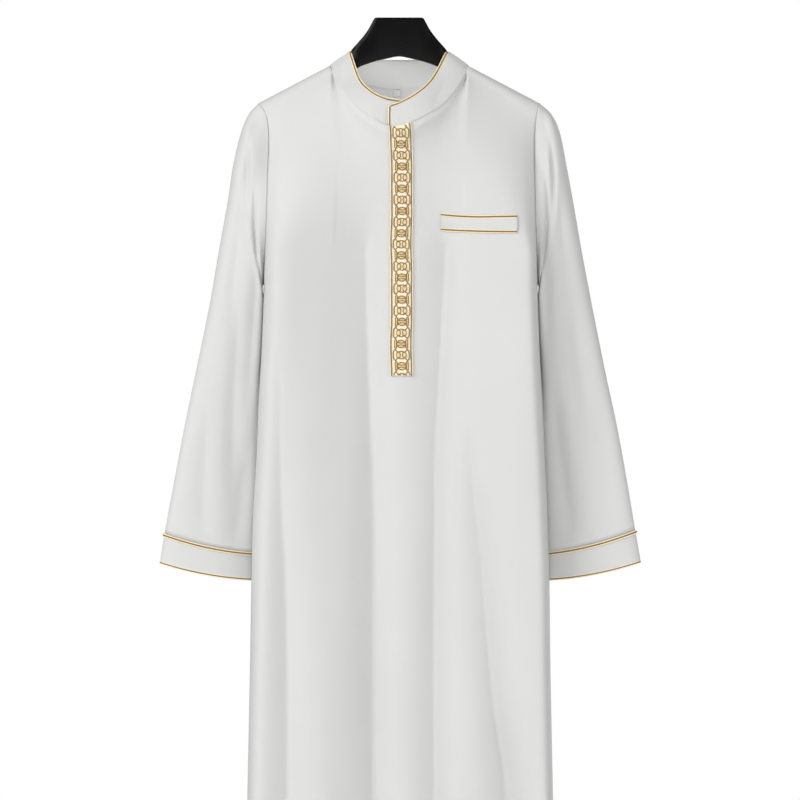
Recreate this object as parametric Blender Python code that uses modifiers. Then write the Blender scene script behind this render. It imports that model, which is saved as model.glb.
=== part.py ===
"""Long robe with a stand collar, hanging on a moulded hanger. Metres, +Z up, the front toward -Y."""

import bpy
import math
from mathutils import Vector
from mathutils.bvhtree import BVHTree

# Cloth and seams
WALL = 0.0012
SEAM = 0.00035
CLEAR = 0.0003

# Shoulders: the seam runs straight from the neck to the armhole
NECK_SIDE_X = 0.0934
NECK_SIDE_Z = -0.0650
SHOULDER_SLOPE = 0.5250
SHOULDER_X = 0.1900
ARMPIT_Z = -0.3602
HEM_Z = -1.4160

# Cords
PIPING_RADIUS = 0.0014
HEM_PIPING_RADIUS = 0.0011
PLACKET_CORD_RADIUS = 0.0009

# Shares of the half width where the panels have their columns
HALF_COLUMNS = (0.0, 0.1, 0.2, 0.3, 0.4, 0.47, 0.4916, 0.575, 0.66, 0.74, 0.81, 0.87, 0.92, 0.96, 0.988, 1.0)
COLLAR_COLUMNS = 7
NECK_ROUND_SHARE = 0.47
NECK_SIDE_SHARE = 0.4916

# Heights where all columns of a panel share a row
LEVELS = (-0.205, -0.245, -0.285, -0.320, -0.345, ARMPIT_Z, -0.400, -0.450, -0.510, -0.580,
          -0.650, -0.730, -0.820, -0.920, -1.020, -1.120, -1.220, -1.320, HEM_Z)
ARMPIT_LEVEL = 5
ROLL_ANGLES = (0, 22, 45, 68, 90)
YOKE_STEPS = 4

# Side edge of the body: height, half width on the viewer's left, half width on the viewer's right
BODY_EDGE = (
    (-1.4160, 0.2125, 0.2165),
    (-1.0570, 0.2053, 0.2086),
    (-0.8816, 0.2018, 0.2051),
    (-0.7600, 0.1998, 0.2036),
    (-0.6600, 0.1971, 0.2005),
    (-0.6000, 0.1933, 0.1978),
    (-0.5300, 0.1905, 0.1946),
    (-0.4500, 0.1863, 0.1906),
    (-0.3600, 0.1830, 0.1874),
    (-0.2890, 0.1798, 0.1852),
    (-0.2050, 0.1772, 0.1830),
    (-0.1690, 0.1758, 0.1830),
    (-0.1430, 0.1772, 0.1845),
    (-0.1280, 0.1810, 0.1868),
    (-0.1157, 0.1900, 0.1900),
)

# Half depth of the body: height, front, back
BODY_DEPTH = (
    (-1.4160, 0.0690, 0.0620),
    (-1.0000, 0.0620, 0.0560),
    (-0.7000, 0.0580, 0.0520),
    (-0.4500, 0.0570, 0.0500),
    (-0.3000, 0.0600, 0.0500),
    (-0.2000, 0.0620, 0.0500),
    (-0.1500, 0.0620, 0.0490),
    (-0.1000, 0.0590, 0.0475),
    (-0.0500, 0.0540, 0.0440),
)
ARMHOLE_HALF_DEPTH = 0.034
FRONT_ROUNDING = 5.0
BACK_ROUNDING = 2.6
NECK_FLARE = 0.40
NECK_FLARE_REACH = 0.020
COLLAR_SEAM = 0.0013

# Neckline of the front panel on the viewer's right: share of the half width, distance to the front, height
NECK_FRONT_RIGHT = (
    (0.0, 0.0620, -0.1460),
    (0.1, 0.0600, -0.1403),
    (0.2, 0.0545, -0.1313),
    (0.3, 0.0440, -0.1192),
    (0.4, 0.0290, -0.0972),
    (0.47, 0.0115, -0.0745),
    (0.4916, 0.0, NECK_SIDE_Z),
)
# The same on the viewer's left, where the end below runs under the placket
NECK_FRONT_LEFT = (
    (0.0, 0.0620, -0.1460),
    (0.1, 0.0602, -0.1452),
    (0.2, 0.0545, -0.1345),
    (0.3, 0.0440, -0.1205),
    (0.4, 0.0290, -0.0975),
    (0.47, 0.0115, -0.0745),
    (0.4916, 0.0, NECK_SIDE_Z),
)
# Neckline of the back panel: share of the half width, distance to the back, height
NECK_BACK = (
    (0.0, 0.0475, -0.0950),
    (0.1, 0.0465, -0.0938),
    (0.2, 0.0435, -0.0905),
    (0.3, 0.0375, -0.0840),
    (0.4, 0.0265, -0.0745),
    (0.47, 0.0105, -0.0672),
    (0.4916, 0.0, NECK_SIDE_Z),
)

# Top edge of the collar, one row for each column: distance from the middle, distance from the hanger, height
COLLAR_TOP_FRONT_RIGHT = (
    (0.0000, 0.0487, -0.1163),
    (0.0165, 0.0464, -0.1082),
    (0.0310, 0.0405, -0.0995),
    (0.0422, 0.0335, -0.0900),
    (0.0528, 0.0225, -0.0760),
    (0.0636, 0.0090, -0.0540),
    (0.0682, 0.0000, -0.0463),
)
COLLAR_TOP_FRONT_LEFT = (
    (0.0000, 0.0475, -0.1155),
    (0.0165, 0.0455, -0.1126),
    (0.0310, 0.0405, -0.1072),
    (0.0432, 0.0335, -0.0978),
    (0.0552, 0.0230, -0.0835),
    (0.0655, 0.0090, -0.0555),
    (0.0682, 0.0000, -0.0463),
)
COLLAR_TOP_BACK = (
    (0.0000, 0.0370, -0.0576),
    (0.0145, 0.0365, -0.0573),
    (0.0285, 0.0345, -0.0560),
    (0.0415, 0.0300, -0.0530),
    (0.0545, 0.0215, -0.0495),
    (0.0650, 0.0095, -0.0472),
    (0.0682, 0.0000, -0.0463),
)
COLLAR_BULGE = 0.0012
OVERLAP_END_X = -0.0135
# Top edge of the end on top: share of the way to the end, distance to the front, height
OVERLAP_TOP = ((1.0, 0.0508, -0.1209), (0.4, 0.0496, -0.1182))
UNDERLAP_END_X = 0.0030
UNDERLAP_SETBACK = 0.0036

# Folds: place at the upper height, place at the lower height, start height, full height, depth, half width
# The upper height of the places is -0.300 and the lower height is -0.922.
FRONT_FOLDS = (
    (-0.0500, -0.0370, -0.200, -0.600, 0.0130, 0.0220),
    (0.0530, 0.0480, -0.180, -0.520, 0.0105, 0.0170),
    (-0.1530, -0.1500, -0.400, -0.850, 0.0105, 0.0200),
    (0.0720, 0.1280, -0.480, -0.900, 0.0120, 0.0220),
)
BACK_FOLDS = (
    (-0.1050, -0.1180, -0.350, -0.900, 0.0120, 0.0260),
    (0.0080, -0.0060, -0.300, -0.850, 0.0100, 0.0240),
    (0.1000, 0.1220, -0.400, -0.950, 0.0130, 0.0280),
)

# Sleeve stations: outer edge on the viewer's right, outer edge on the viewer's left, outer height,
# inner edge beyond the body's edge, inner height, outer set back, inner set back, half depth, sag
SLEEVE = (
    (0.1905, 0.1885, -0.1157, 0.0010, ARMPIT_Z, 0.0000, 0.0000, 0.0340, 0.0000),
    (0.2065, 0.2035, -0.1310, 0.0018, -0.3640, 0.0010, 0.0030, 0.0330, 0.0000),
    (0.2180, 0.2140, -0.1560, 0.0024, -0.3700, 0.0020, 0.0080, 0.0315, 0.0000),
    (0.2268, 0.2245, -0.2000, 0.0020, -0.3820, 0.0030, 0.0160, 0.0290, 0.0000),
    (0.2360, 0.2320, -0.2500, 0.0004, -0.4010, 0.0050, 0.0240, 0.0265, 0.0000),
    (0.2478, 0.2443, -0.3180, -0.0030, -0.4320, 0.0080, 0.0320, 0.0240, 0.0005),
    (0.2610, 0.2562, -0.3875, -0.0070, -0.4770, 0.0100, 0.0380, 0.0220, 0.0010),
    (0.2785, 0.2742, -0.4750, -0.0120, -0.5420, 0.0120, 0.0420, 0.0200, 0.0020),
    (0.2960, 0.2913, -0.5570, -0.0180, -0.6110, 0.0130, 0.0440, 0.0185, 0.0030),
    (0.3092, 0.3053, -0.6300, -0.0220, -0.6730, 0.0130, 0.0450, 0.0175, 0.0040),
    (0.3197, 0.3175, -0.6925, -0.0245, -0.7262, 0.0130, 0.0450, 0.0165, 0.0050),
)
CUFF = (
    (0.3198, 0.3176, -0.6932, -0.0245, -0.7269, 0.0130, 0.0450, 0.0165, 0.0050),
    (0.3236, 0.3205, -0.7140, -0.0245, -0.7450, 0.0130, 0.0450, 0.0160, 0.0050),
    (0.3272, 0.3236, -0.7348, -0.0245, -0.7630, 0.0130, 0.0450, 0.0155, 0.0050),
)

# Placket strip on the front panel
PLACKET_LEFT_X = -0.0120
PLACKET_RIGHT_X = 0.0165
PLACKET_TOP_LEFT_Z = -0.1478
PLACKET_TOP_RIGHT_Z = -0.1445
PLACKET_BOTTOM_Z = -0.4850

# Pocket welt on the front panel: distance along X, height of the top piping, height of the bottom piping
POCKET = (
    (0.0567, -0.2662, -0.2868),
    (0.0820, -0.2688, -0.2888),
    (0.1080, -0.2698, -0.2900),
    (0.1340, -0.2694, -0.2905),
    (0.1566, -0.2686, -0.2904),
)
POCKET_STEPS = 8

# Hanger sections: distance along X, top, bottom, half thickness
HANGER = (
    (0.0000, 0.0000, -0.0527, 0.0070),
    (0.0200, 0.0000, -0.0563, 0.0070),
    (0.0315, -0.0003, -0.0590, 0.0070),
    (0.0338, -0.0020, -0.0597, 0.0070),
    (0.0412, -0.0155, -0.0622, 0.0070),
    (0.0480, -0.0250, -0.0646, 0.0070),
    (0.0540, -0.0322, -0.0671, 0.0070),
    (0.0590, -0.0378, -0.0698, 0.0056),
    (0.0610, -0.0400, -0.0710, 0.0048),
    (0.0616, -0.0505, -0.0715, 0.0048),
    (0.0660, -0.0550, -0.0735, 0.0048),
    (0.0700, -0.0580, -0.0760, 0.0048),
    (0.0800, -0.0670, -0.0830, 0.0048),
    (0.0900, -0.0740, -0.0905, 0.0054),
    (0.1000, -0.0770, -0.0970, 0.0066),
    (0.1100, -0.0790, -0.1030, 0.0080),
    (0.1300, -0.0880, -0.1140, 0.0100),
    (0.1500, -0.0980, -0.1240, 0.0118),
    (0.1640, -0.1058, -0.1305, 0.0118),
    (0.1730, -0.1118, -0.1340, 0.0108),
    (0.1775, -0.1160, -0.1335, 0.0080),
    (0.1795, -0.1205, -0.1300, 0.0045),
)
# Roll of the cloth over the arm: distance along X, radius
SHOULDER_ROLL = (
    (0.0934, 0.0078),
    (0.1100, 0.0105),
    (0.1300, 0.0125),
    (0.1500, 0.0142),
    (0.1700, 0.0150),
    (0.1900, 0.0150),
)
HANGER_ROUNDING = 0.0040
HANGER_ARM_X = 0.0600


def clear_scene():
    """Take away what the new file starts with."""
    for item in list(bpy.data.objects):
        bpy.data.objects.remove(item, do_unlink=True)


def smooth(t):
    """Ease from 0 to 1."""
    t = min(1.0, max(0.0, t))
    return t * t * (3.0 - 2.0 * t)


def from_table(rows, place, column):
    """Read a column at a place of the first column, with smooth joins between the rows."""
    if rows[0][0] > rows[-1][0]:
        rows = tuple(reversed(rows))
    if place <= rows[0][0]:
        return rows[0][column]
    if place >= rows[-1][0]:
        return rows[-1][column]
    i = 0
    while place > rows[i + 1][0]:
        i += 1

    def slope(k):
        low = rows[max(0, k - 1)]
        high = rows[min(len(rows) - 1, k + 1)]
        return (high[column] - low[column]) / (high[0] - low[0])

    span = rows[i + 1][0] - rows[i][0]
    t = (place - rows[i][0]) / span
    a = rows[i][column]
    b = rows[i + 1][column]
    rise = b - a
    start = slope(i) * span - rise
    end = slope(i + 1) * span - rise
    return a + rise * t + t * (1 - t) * (start * (1 - t) - end * t)


def new_material(name, colour, roughness, metallic=0.0):
    """One plain surface."""
    material = bpy.data.materials.new(name)
    material.use_nodes = True
    shader = material.node_tree.nodes["Principled BSDF"]
    shader.inputs["Base Color"].default_value = (*colour, 1.0)
    shader.inputs["Roughness"].default_value = roughness
    shader.inputs["Metallic"].default_value = metallic
    return material


def add_mesh(name, points, faces, material, collection):
    """One mesh object from points and faces."""
    mesh = bpy.data.meshes.new(name)
    mesh.from_pydata([tuple(point) for point in points], [], faces)
    mesh.materials.append(material)
    item = bpy.data.objects.new(name, mesh)
    collection.objects.link(item)
    return item


def grid_faces(rows, columns, closed=False, flip=False):
    """Quads between rows of points."""
    faces = []
    last = columns if closed else columns - 1
    for j in range(rows - 1):
        for i in range(last):
            k = (i + 1) % columns
            face = (j * columns + i, j * columns + k, (j + 1) * columns + k, (j + 1) * columns + i)
            if flip:
                face = tuple(reversed(face))
            faces.append(face)
    return faces


def add_cloth(name, grid, material, collection, closed=False, flip=False, wall=WALL):
    """A wall of cloth, with the grid as its outer face."""
    points = [point for row in grid for point in row]
    faces = grid_faces(len(grid), len(grid[0]), closed, flip)
    item = add_mesh(name, points, faces, material, collection)
    shell = item.modifiers.new("wall", "SOLIDIFY")
    shell.thickness = wall
    shell.offset = -1.0
    shell.use_even_offset = False
    return item


def add_cord(name, points, radius, material, collection, closed=False):
    """A round cord along points."""
    curve = bpy.data.curves.new(name, "CURVE")
    curve.dimensions = "3D"
    curve.bevel_depth = radius
    curve.bevel_resolution = 1
    curve.render_resolution_u = 0
    curve.use_fill_caps = not closed
    spline = curve.splines.new("POLY")
    spline.points.add(len(points) - 1)
    for slot, point in zip(spline.points, points):
        slot.co = (point[0], point[1], point[2], 1.0)
    spline.use_cyclic_u = closed
    curve.materials.append(material)
    item = bpy.data.objects.new(name, curve)
    collection.objects.link(item)
    return item


def shoulder_height(x):
    """Height of the shoulder seam."""
    return NECK_SIDE_Z - SHOULDER_SLOPE * (abs(x) - NECK_SIDE_X)


def shoulder_radius(x):
    """Radius of the cloth's roll over the hanger's arm."""
    return from_table(SHOULDER_ROLL, abs(x), 1)


def top_edge(s, neckline):
    """Distance from the seam plane and height of a panel's top edge."""
    share = abs(s)
    if share >= HALF_COLUMNS[COLLAR_COLUMNS - 1]:
        return 0.0, shoulder_height(share * SHOULDER_X)
    return from_table(neckline, share, 1), from_table(neckline, share, 2)


def neckline_of(s, facing):
    """Table of the neckline on one side of a panel."""
    if facing > 0:
        return NECK_BACK
    return NECK_FRONT_LEFT if s < 0 else NECK_FRONT_RIGHT


def row_height(s, j, facing):
    """Height of a panel's point in a column and a row."""
    top = top_edge(s, neckline_of(s, facing))[1]
    radius = shoulder_radius(s * SHOULDER_X)
    rolls = len(ROLL_ANGLES)
    if j < rolls:
        return top - radius * (1.0 - math.cos(math.radians(ROLL_ANGLES[j])))
    if j < rolls + YOKE_STEPS - 1:
        share = (j - rolls + 1) / YOKE_STEPS
        return (top - radius) * (1.0 - share) + LEVELS[0] * share
    return LEVELS[j - rolls - YOKE_STEPS + 1]


def fold_depth(x, z, folds):
    """How far the folds take the cloth inward."""
    depth = 0.0
    for upper, lower, start, full, most, half in folds:
        place = upper + (lower - upper) * (-0.300 - z) / 0.622
        strength = smooth((start - z) / (start - full))
        depth += most * strength * math.exp(-((x - place) / half) ** 2)
    return depth


def half_width(s, edge_z):
    """Half width of a row. The hollow beside the armhole fades toward the middle."""
    side = 1 if s < 0 else 2
    edge = from_table(BODY_EDGE, edge_z, side)
    if edge_z <= LEVELS[0]:
        return edge
    top = shoulder_height(SHOULDER_X)
    chest = from_table(BODY_EDGE, LEVELS[0], side)
    plain = SHOULDER_X + (chest - SHOULDER_X) * smooth((top - edge_z) / (top - LEVELS[0]))
    return plain + (edge - plain) * s ** 4


def panel_point(s, j, facing):
    """A point of the front panel (facing -1) or the back panel (facing 1)."""
    folds = FRONT_FOLDS if facing < 0 else BACK_FOLDS
    z = row_height(s, j, facing)
    edge_z = row_height(1.0, j, facing)
    x = s * half_width(s, edge_z)
    top_distance, top = top_edge(s, neckline_of(s, facing))
    drop = top - z
    radius = shoulder_radius(s * SHOULDER_X)
    roll = radius * math.sqrt(max(0.0, 1.0 - (1.0 - min(1.0, drop / radius)) ** 2))
    shoulder_share = smooth((abs(s) - NECK_ROUND_SHARE) / (NECK_SIDE_SHARE - NECK_ROUND_SHARE))
    flare = NECK_FLARE * drop * math.exp(-drop / NECK_FLARE_REACH) * (1.0 - shoulder_share)
    near_top = top_distance + roll * shoulder_share + flare
    side = armhole_depth(z)
    depth = from_table(BODY_DEPTH, z, 1 if facing < 0 else 2)
    power = FRONT_ROUNDING if facing < 0 else BACK_ROUNDING
    rounding = math.sqrt(max(0.0, 1.0 - abs(s) ** power))
    hanging = side + (depth - side) * rounding
    hanging -= fold_depth(x, z, folds) * (1.0 - abs(s) ** 6)
    share = smooth(drop / 0.150)
    distance = near_top * (1.0 - share) + hanging * share
    return Vector((x, facing * max(SEAM, distance), z))


def armhole_depth(z):
    """Half depth of the armhole at a height, and none below the armpit."""
    top = shoulder_height(SHOULDER_X)
    middle = (top + ARMPIT_Z) / 2
    half = (top - ARMPIT_Z) / 2
    share = 1.0 - ((z - middle) / half) ** 2
    return ARMHOLE_HALF_DEPTH * math.sqrt(max(0.0, share))


def panel_columns():
    """Shares of the half width from the viewer's left to the right."""
    left = [-s for s in reversed(HALF_COLUMNS[1:])]
    return left + list(HALF_COLUMNS)


def panel_grid(facing):
    """All points of a panel, from the top row down."""
    count = len(ROLL_ANGLES) + YOKE_STEPS - 1 + len(LEVELS)
    return [[panel_point(s, j, facing) for s in panel_columns()] for j in range(count)]


def make_front(grid, material, collection):
    """Front panel."""
    return add_cloth("front", grid, material, collection, flip=True)


def make_back(grid, material, collection):
    """Back panel."""
    return add_cloth("back", grid, material, collection)


def armhole_loop(side, front_grid, back_grid):
    """Edge of an armhole: the top, the front edge down, the armpit and the back edge up."""
    column = -1 if side > 0 else 0
    last = len(ROLL_ANGLES) + YOKE_STEPS - 1 + ARMPIT_LEVEL
    front = [front_grid[j][column] for j in range(last + 1)]
    back = [back_grid[j][column] for j in range(last + 1)]
    top = (front[0] + back[0]) / 2
    bottom = (front[last] + back[last]) / 2
    return [top] + front[1:last] + [bottom] + list(reversed(back[1:last]))


def ring_places():
    """For each point of a ring: place across the sleeve (1 outer, -1 inner) and face (-1 front, 1 back)."""
    last = len(ROLL_ANGLES) + YOKE_STEPS - 1 + ARMPIT_LEVEL
    top = row_height(1.0, 0, -1)
    heights = [row_height(1.0, j, -1) for j in range(last + 1)]
    across = [2.0 * (z - ARMPIT_Z) / (top - ARMPIT_Z) - 1.0 for z in heights]
    front = [(c, -1) for c in across[1:last]]
    back = [(c, 1) for c in reversed(across[1:last])]
    return [(1.0, 0)] + front + [(-1.0, 0)] + back


def sleeve_ring(side, station):
    """One ring of a sleeve."""
    right, left, outer_z, beyond, inner_z, outer_back, inner_back, half, sag = station
    outer_x = right if side > 0 else left
    inner_x = from_table(BODY_EDGE, inner_z, 2 if side > 0 else 1) + beyond
    ring = []
    for across, face in ring_places():
        share = (across + 1.0) / 2.0
        x = inner_x + (outer_x - inner_x) * share
        y = inner_back + (outer_back - inner_back) * share
        z = inner_z + (outer_z - inner_z) * share
        round_share = math.sqrt(max(0.0, 1.0 - abs(across) ** 2.4))
        drop = sag * (1.0 - across * across) * (1.0 if face < 0 else 0.4)
        ring.append(Vector((side * x, y + face * half * round_share, z - drop)))
    return ring


def sleeve_grid(side, front_grid, back_grid):
    """All rings of a sleeve, from the armhole to the cuff seam."""
    loop = armhole_loop(side, front_grid, back_grid)
    first = [point + Vector((side * 2 * SEAM, 0.0, 0.0)) for point in loop]
    return [first] + [sleeve_ring(side, station) for station in SLEEVE[1:]]


def make_sleeve(name, side, grid, material, collection):
    """One sleeve."""
    return add_cloth(name, grid, material, collection, closed=True, flip=side < 0)


def make_cuff(name, side, material, collection):
    """The band at the end of a sleeve."""
    grid = [sleeve_ring(side, station) for station in CUFF]
    return add_cloth(name, grid, material, collection, closed=True, flip=side < 0)


def moved_out(ring, axis, distance):
    """A closed loop moved outward, square to an axis."""
    middle = sum(ring, Vector()) / len(ring)
    result = []
    for i, point in enumerate(ring):
        along = ring[(i + 1) % len(ring)] - ring[i - 1]
        outward = along.cross(axis).normalized()
        if outward.dot(point - middle) < 0.0:
            outward = -outward
        result.append(point + outward * distance)
    return result


def make_cuff_piping(name, side, material, collection):
    """Piping over the seam of a cuff."""
    upper = sleeve_ring(side, CUFF[0])
    lower = sleeve_ring(side, CUFF[1])
    ring = [a.lerp(b, 0.10) for a, b in zip(upper, lower)]
    axis = sum(upper, Vector()) / len(upper) - sum(lower, Vector()) / len(lower)
    path = moved_out(ring, axis.normalized(), PIPING_RADIUS + 2 * CLEAR)
    return add_cord(name, path, PIPING_RADIUS, material, collection, closed=True)


def make_cuff_hem_piping(name, side, material, collection):
    """Piping on the lower edge of a cuff."""
    upper = sleeve_ring(side, CUFF[1])
    ring = sleeve_ring(side, CUFF[2])
    axis = sum(upper, Vector()) / len(upper) - sum(ring, Vector()) / len(ring)
    axis.normalize()
    path = moved_out(ring, axis, -WALL / 2)
    path = [point - axis * (HEM_PIPING_RADIUS + CLEAR) for point in path]
    return add_cord(name, path, HEM_PIPING_RADIUS, material, collection, closed=True)


def collar_pair(place, table, sign, facing):
    """Base and top of the collar at a column, which may lie between two columns."""
    neckline = neckline_of(sign, facing)
    low = int(place)
    share = place - low
    high = min(COLLAR_COLUMNS - 1, low + 1)
    base_s = HALF_COLUMNS[low] * (1 - share) + HALF_COLUMNS[high] * share
    out_low, z_low = top_edge(HALF_COLUMNS[low], neckline)
    out_high, z_high = top_edge(HALF_COLUMNS[high], neckline)
    base_out = out_low * (1 - share) + out_high * share
    base_z = z_low * (1 - share) + z_high * share
    base = Vector((sign * base_s * SHOULDER_X, facing * base_out, base_z))
    top_row = [table[low][k] * (1 - share) + table[high][k] * share for k in range(3)]
    top = Vector((sign * top_row[0], facing * top_row[1], top_row[2]))
    return base, top


def collar_pairs():
    """Base and top points round the neck, from the end on top to the end below."""
    last = COLLAR_COLUMNS - 1
    over_place = -OVERLAP_END_X / (HALF_COLUMNS[1] * SHOULDER_X)
    under_place = UNDERLAP_END_X / (HALF_COLUMNS[1] * SHOULDER_X)
    pairs = []
    for share, top_y, top_z in OVERLAP_TOP:
        base, top = collar_pair(over_place * share, COLLAR_TOP_FRONT_RIGHT, -1, -1)
        top.x = OVERLAP_END_X * share
        top.y = -top_y
        top.z = top_z
        pairs.append((base, top))
    for k in range(last):
        pairs.append(collar_pair(k, COLLAR_TOP_FRONT_RIGHT, 1, -1))
    for k in range(last, -1, -1):
        pairs.append(collar_pair(k, COLLAR_TOP_BACK, 1, 1))
    for k in range(1, last):
        pairs.append(collar_pair(k, COLLAR_TOP_BACK, -1, 1))
    for k in range(last, 1, -1):
        pairs.append(collar_pair(k, COLLAR_TOP_FRONT_LEFT, -1, -1))
    setback = Vector((0.0, UNDERLAP_SETBACK, 0.0))
    for place, sign, share in ((1.15, -1, 0.7), (over_place, -1, 1.0), (under_place, 1, 1.0)):
        base, top = collar_pair(place, COLLAR_TOP_FRONT_LEFT, sign, -1)
        pairs.append((base + setback * share, top + setback * share))
    return pairs


def collar_grid():
    """Rows of the collar, from the top edge down to the seam."""
    rows = [[], [], []]
    for base, top in collar_pairs():
        up = (top - base).normalized()
        seam = base + up * COLLAR_SEAM
        outward = Vector((base.x, base.y, 0.0)).normalized()
        rows[0].append(top)
        rows[1].append((top + seam) / 2 + outward * COLLAR_BULGE)
        rows[2].append(seam)
    return rows


def make_collar(grid, material, collection):
    """Stand collar with its ends overlapped at the front."""
    return add_cloth("collar", grid, material, collection, flip=True)


def collar_edge(grid, first, last):
    """Path of the piping on the collar's top edge, between two columns."""
    path = []
    for i in range(first, last + 1):
        up = (grid[0][i] - grid[1][i]).normalized()
        inward = Vector((-grid[0][i].x, -grid[0][i].y, 0.0)).normalized() * WALL / 2
        path.append(grid[0][i] + inward + up * (PIPING_RADIUS + CLEAR))
    return path


def make_collar_piping(grid, material, collection):
    """Piping on the collar: one cord with a leg down the end on top, and one on the end below."""
    side = COLLAR_COLUMNS + 1
    path = collar_edge(grid, 0, side)
    reach = PIPING_RADIUS + CLEAR
    beside = Vector((-reach, WALL / 2, 0.0))
    leg = [grid[2][0] + beside, grid[1][0] + beside, grid[0][0] + beside]
    leg[0] = leg[0].lerp(leg[1], 0.05)
    corner = grid[0][0] + Vector((-reach * 0.8, WALL / 2, reach * 0.8))
    over = grid[0][0] + Vector((0.0, WALL / 2, reach * 1.1))
    add_cord("collar_piping_over", leg + [corner, over] + path[1:], PIPING_RADIUS, material, collection)
    other_side = len(grid[0]) - 3 - (COLLAR_COLUMNS - 1)
    under = collar_edge(grid, other_side, len(grid[0]) - 1)
    add_cord("collar_piping_under", under, PIPING_RADIUS, material, collection)


def surface(grid, flip):
    """A tree of faces for measuring on a panel."""
    points = [point for row in grid for point in row]
    return BVHTree.FromPolygons(points, grid_faces(len(grid), len(grid[0]), False, flip))


def on_front(tree, x, z, lift):
    """A point lifted off the front panel."""
    hit, normal, _, _ = tree.ray_cast(Vector((x, -1.0, z)), Vector((0.0, 1.0, 0.0)))
    if normal.y > 0.0:
        normal = -normal
    return hit + normal * lift


def placket_heights(x):
    """Heights down the strip at X: its slanting top, the panel's own rows, and its end."""
    share = (x - PLACKET_LEFT_X) / (PLACKET_RIGHT_X - PLACKET_LEFT_X)
    top = PLACKET_TOP_LEFT_Z + (PLACKET_TOP_RIGHT_Z - PLACKET_TOP_LEFT_Z) * share
    rolls = len(ROLL_ANGLES)
    rows = [row_height(0.0, j, -1) for j in range(rolls - 1, rolls + YOKE_STEPS - 1 + len(LEVELS))]
    return [top] + [z for z in rows if PLACKET_BOTTOM_Z + 0.005 < z] + [PLACKET_BOTTOM_Z]


def make_placket(tree, material, collection):
    """The strip that carries the embroidery."""
    xs = (PLACKET_LEFT_X, (PLACKET_LEFT_X + PLACKET_RIGHT_X) / 2, PLACKET_RIGHT_X)
    lift = WALL + 2 * CLEAR
    grid = []
    for heights in zip(*[placket_heights(x) for x in xs]):
        grid.append([on_front(tree, x, z, lift) for x, z in zip(xs, heights)])
    return add_cloth("placket", grid, material, collection, flip=True)


def make_placket_cords(tree, material, collection):
    """One cord beside each edge of the strip."""
    lift = PLACKET_CORD_RADIUS + 2 * CLEAR
    reach = PLACKET_CORD_RADIUS + CLEAR
    for name, x in (("placket_cord_left", PLACKET_LEFT_X - reach), ("placket_cord_right", PLACKET_RIGHT_X + reach)):
        path = [on_front(tree, x, z, lift) for z in placket_heights(x)]
        add_cord(name, path, PLACKET_CORD_RADIUS, material, collection)


def make_pocket(tree, cloth, piping, collection):
    """The welt of the breast pocket with a cord on each long side."""
    grid = [[], []]
    top_path = []
    bottom_path = []
    start = POCKET[0][0]
    end = POCKET[-1][0]
    reach = PIPING_RADIUS + CLEAR
    for i in range(POCKET_STEPS + 1):
        x = start + (end - start) * i / POCKET_STEPS
        top = from_table(POCKET, x, 1)
        bottom = from_table(POCKET, x, 2)
        grid[0].append(on_front(tree, x, top - reach, WALL + 2 * CLEAR))
        grid[1].append(on_front(tree, x, bottom + reach, WALL + 2 * CLEAR))
        top_path.append(on_front(tree, x, top, PIPING_RADIUS + 2 * CLEAR))
        bottom_path.append(on_front(tree, x, bottom, PIPING_RADIUS + 2 * CLEAR))
    add_cloth("pocket_welt", grid, cloth, collection, flip=True)
    add_cord("pocket_piping_top", top_path, PIPING_RADIUS, piping, collection)
    add_cord("pocket_piping_bottom", bottom_path, PIPING_RADIUS, piping, collection)


def make_size_label(tree, material, collection):
    """The bare tag inside the back neck."""
    grid = []
    for z in (-0.0975, -0.1045):
        row = []
        for x in (-0.0073, -0.0027, 0.0019):
            hit, normal, _, _ = tree.ray_cast(Vector((x, 1.0, z)), Vector((0.0, -1.0, 0.0)))
            row.append(hit - Vector((0.0, WALL + 2 * CLEAR + 0.0006, 0.0)))
        grid.append(row)
    return add_cloth("size_label", grid, material, collection, flip=True, wall=0.0005)


def hanger_section(x, top, bottom, half):
    """Rounded outline of the hanger square to X."""
    height = top - bottom
    rounding = HANGER_ROUNDING if abs(x) < HANGER_ARM_X else height
    radius = min(rounding, half * 0.94, height * 0.45)
    points = []
    for sy, sz, start in ((1, 1, 0), (-1, 1, 90), (-1, -1, 180), (1, -1, 270)):
        cy = sy * (half - radius)
        cz = (top - radius) if sz > 0 else (bottom + radius)
        for step in (0, 45, 90):
            angle = math.radians(start + step)
            points.append(Vector((x, cy + radius * math.cos(angle), cz + radius * math.sin(angle))))
    return points


def make_hanger(material, collection):
    """One moulded plate that widens into two arms."""
    stations = [(-x, top, bottom, half) for x, top, bottom, half in reversed(HANGER[1:])] + list(HANGER)
    points = []
    for station in stations:
        points.extend(hanger_section(*station))
    count = 12
    faces = grid_faces(len(stations), count, closed=True)
    faces.append(tuple(reversed(range(count))))
    end = (len(stations) - 1) * count
    faces.append(tuple(range(end, end + count)))
    return add_mesh("hanger", points, faces, material, collection)


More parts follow.
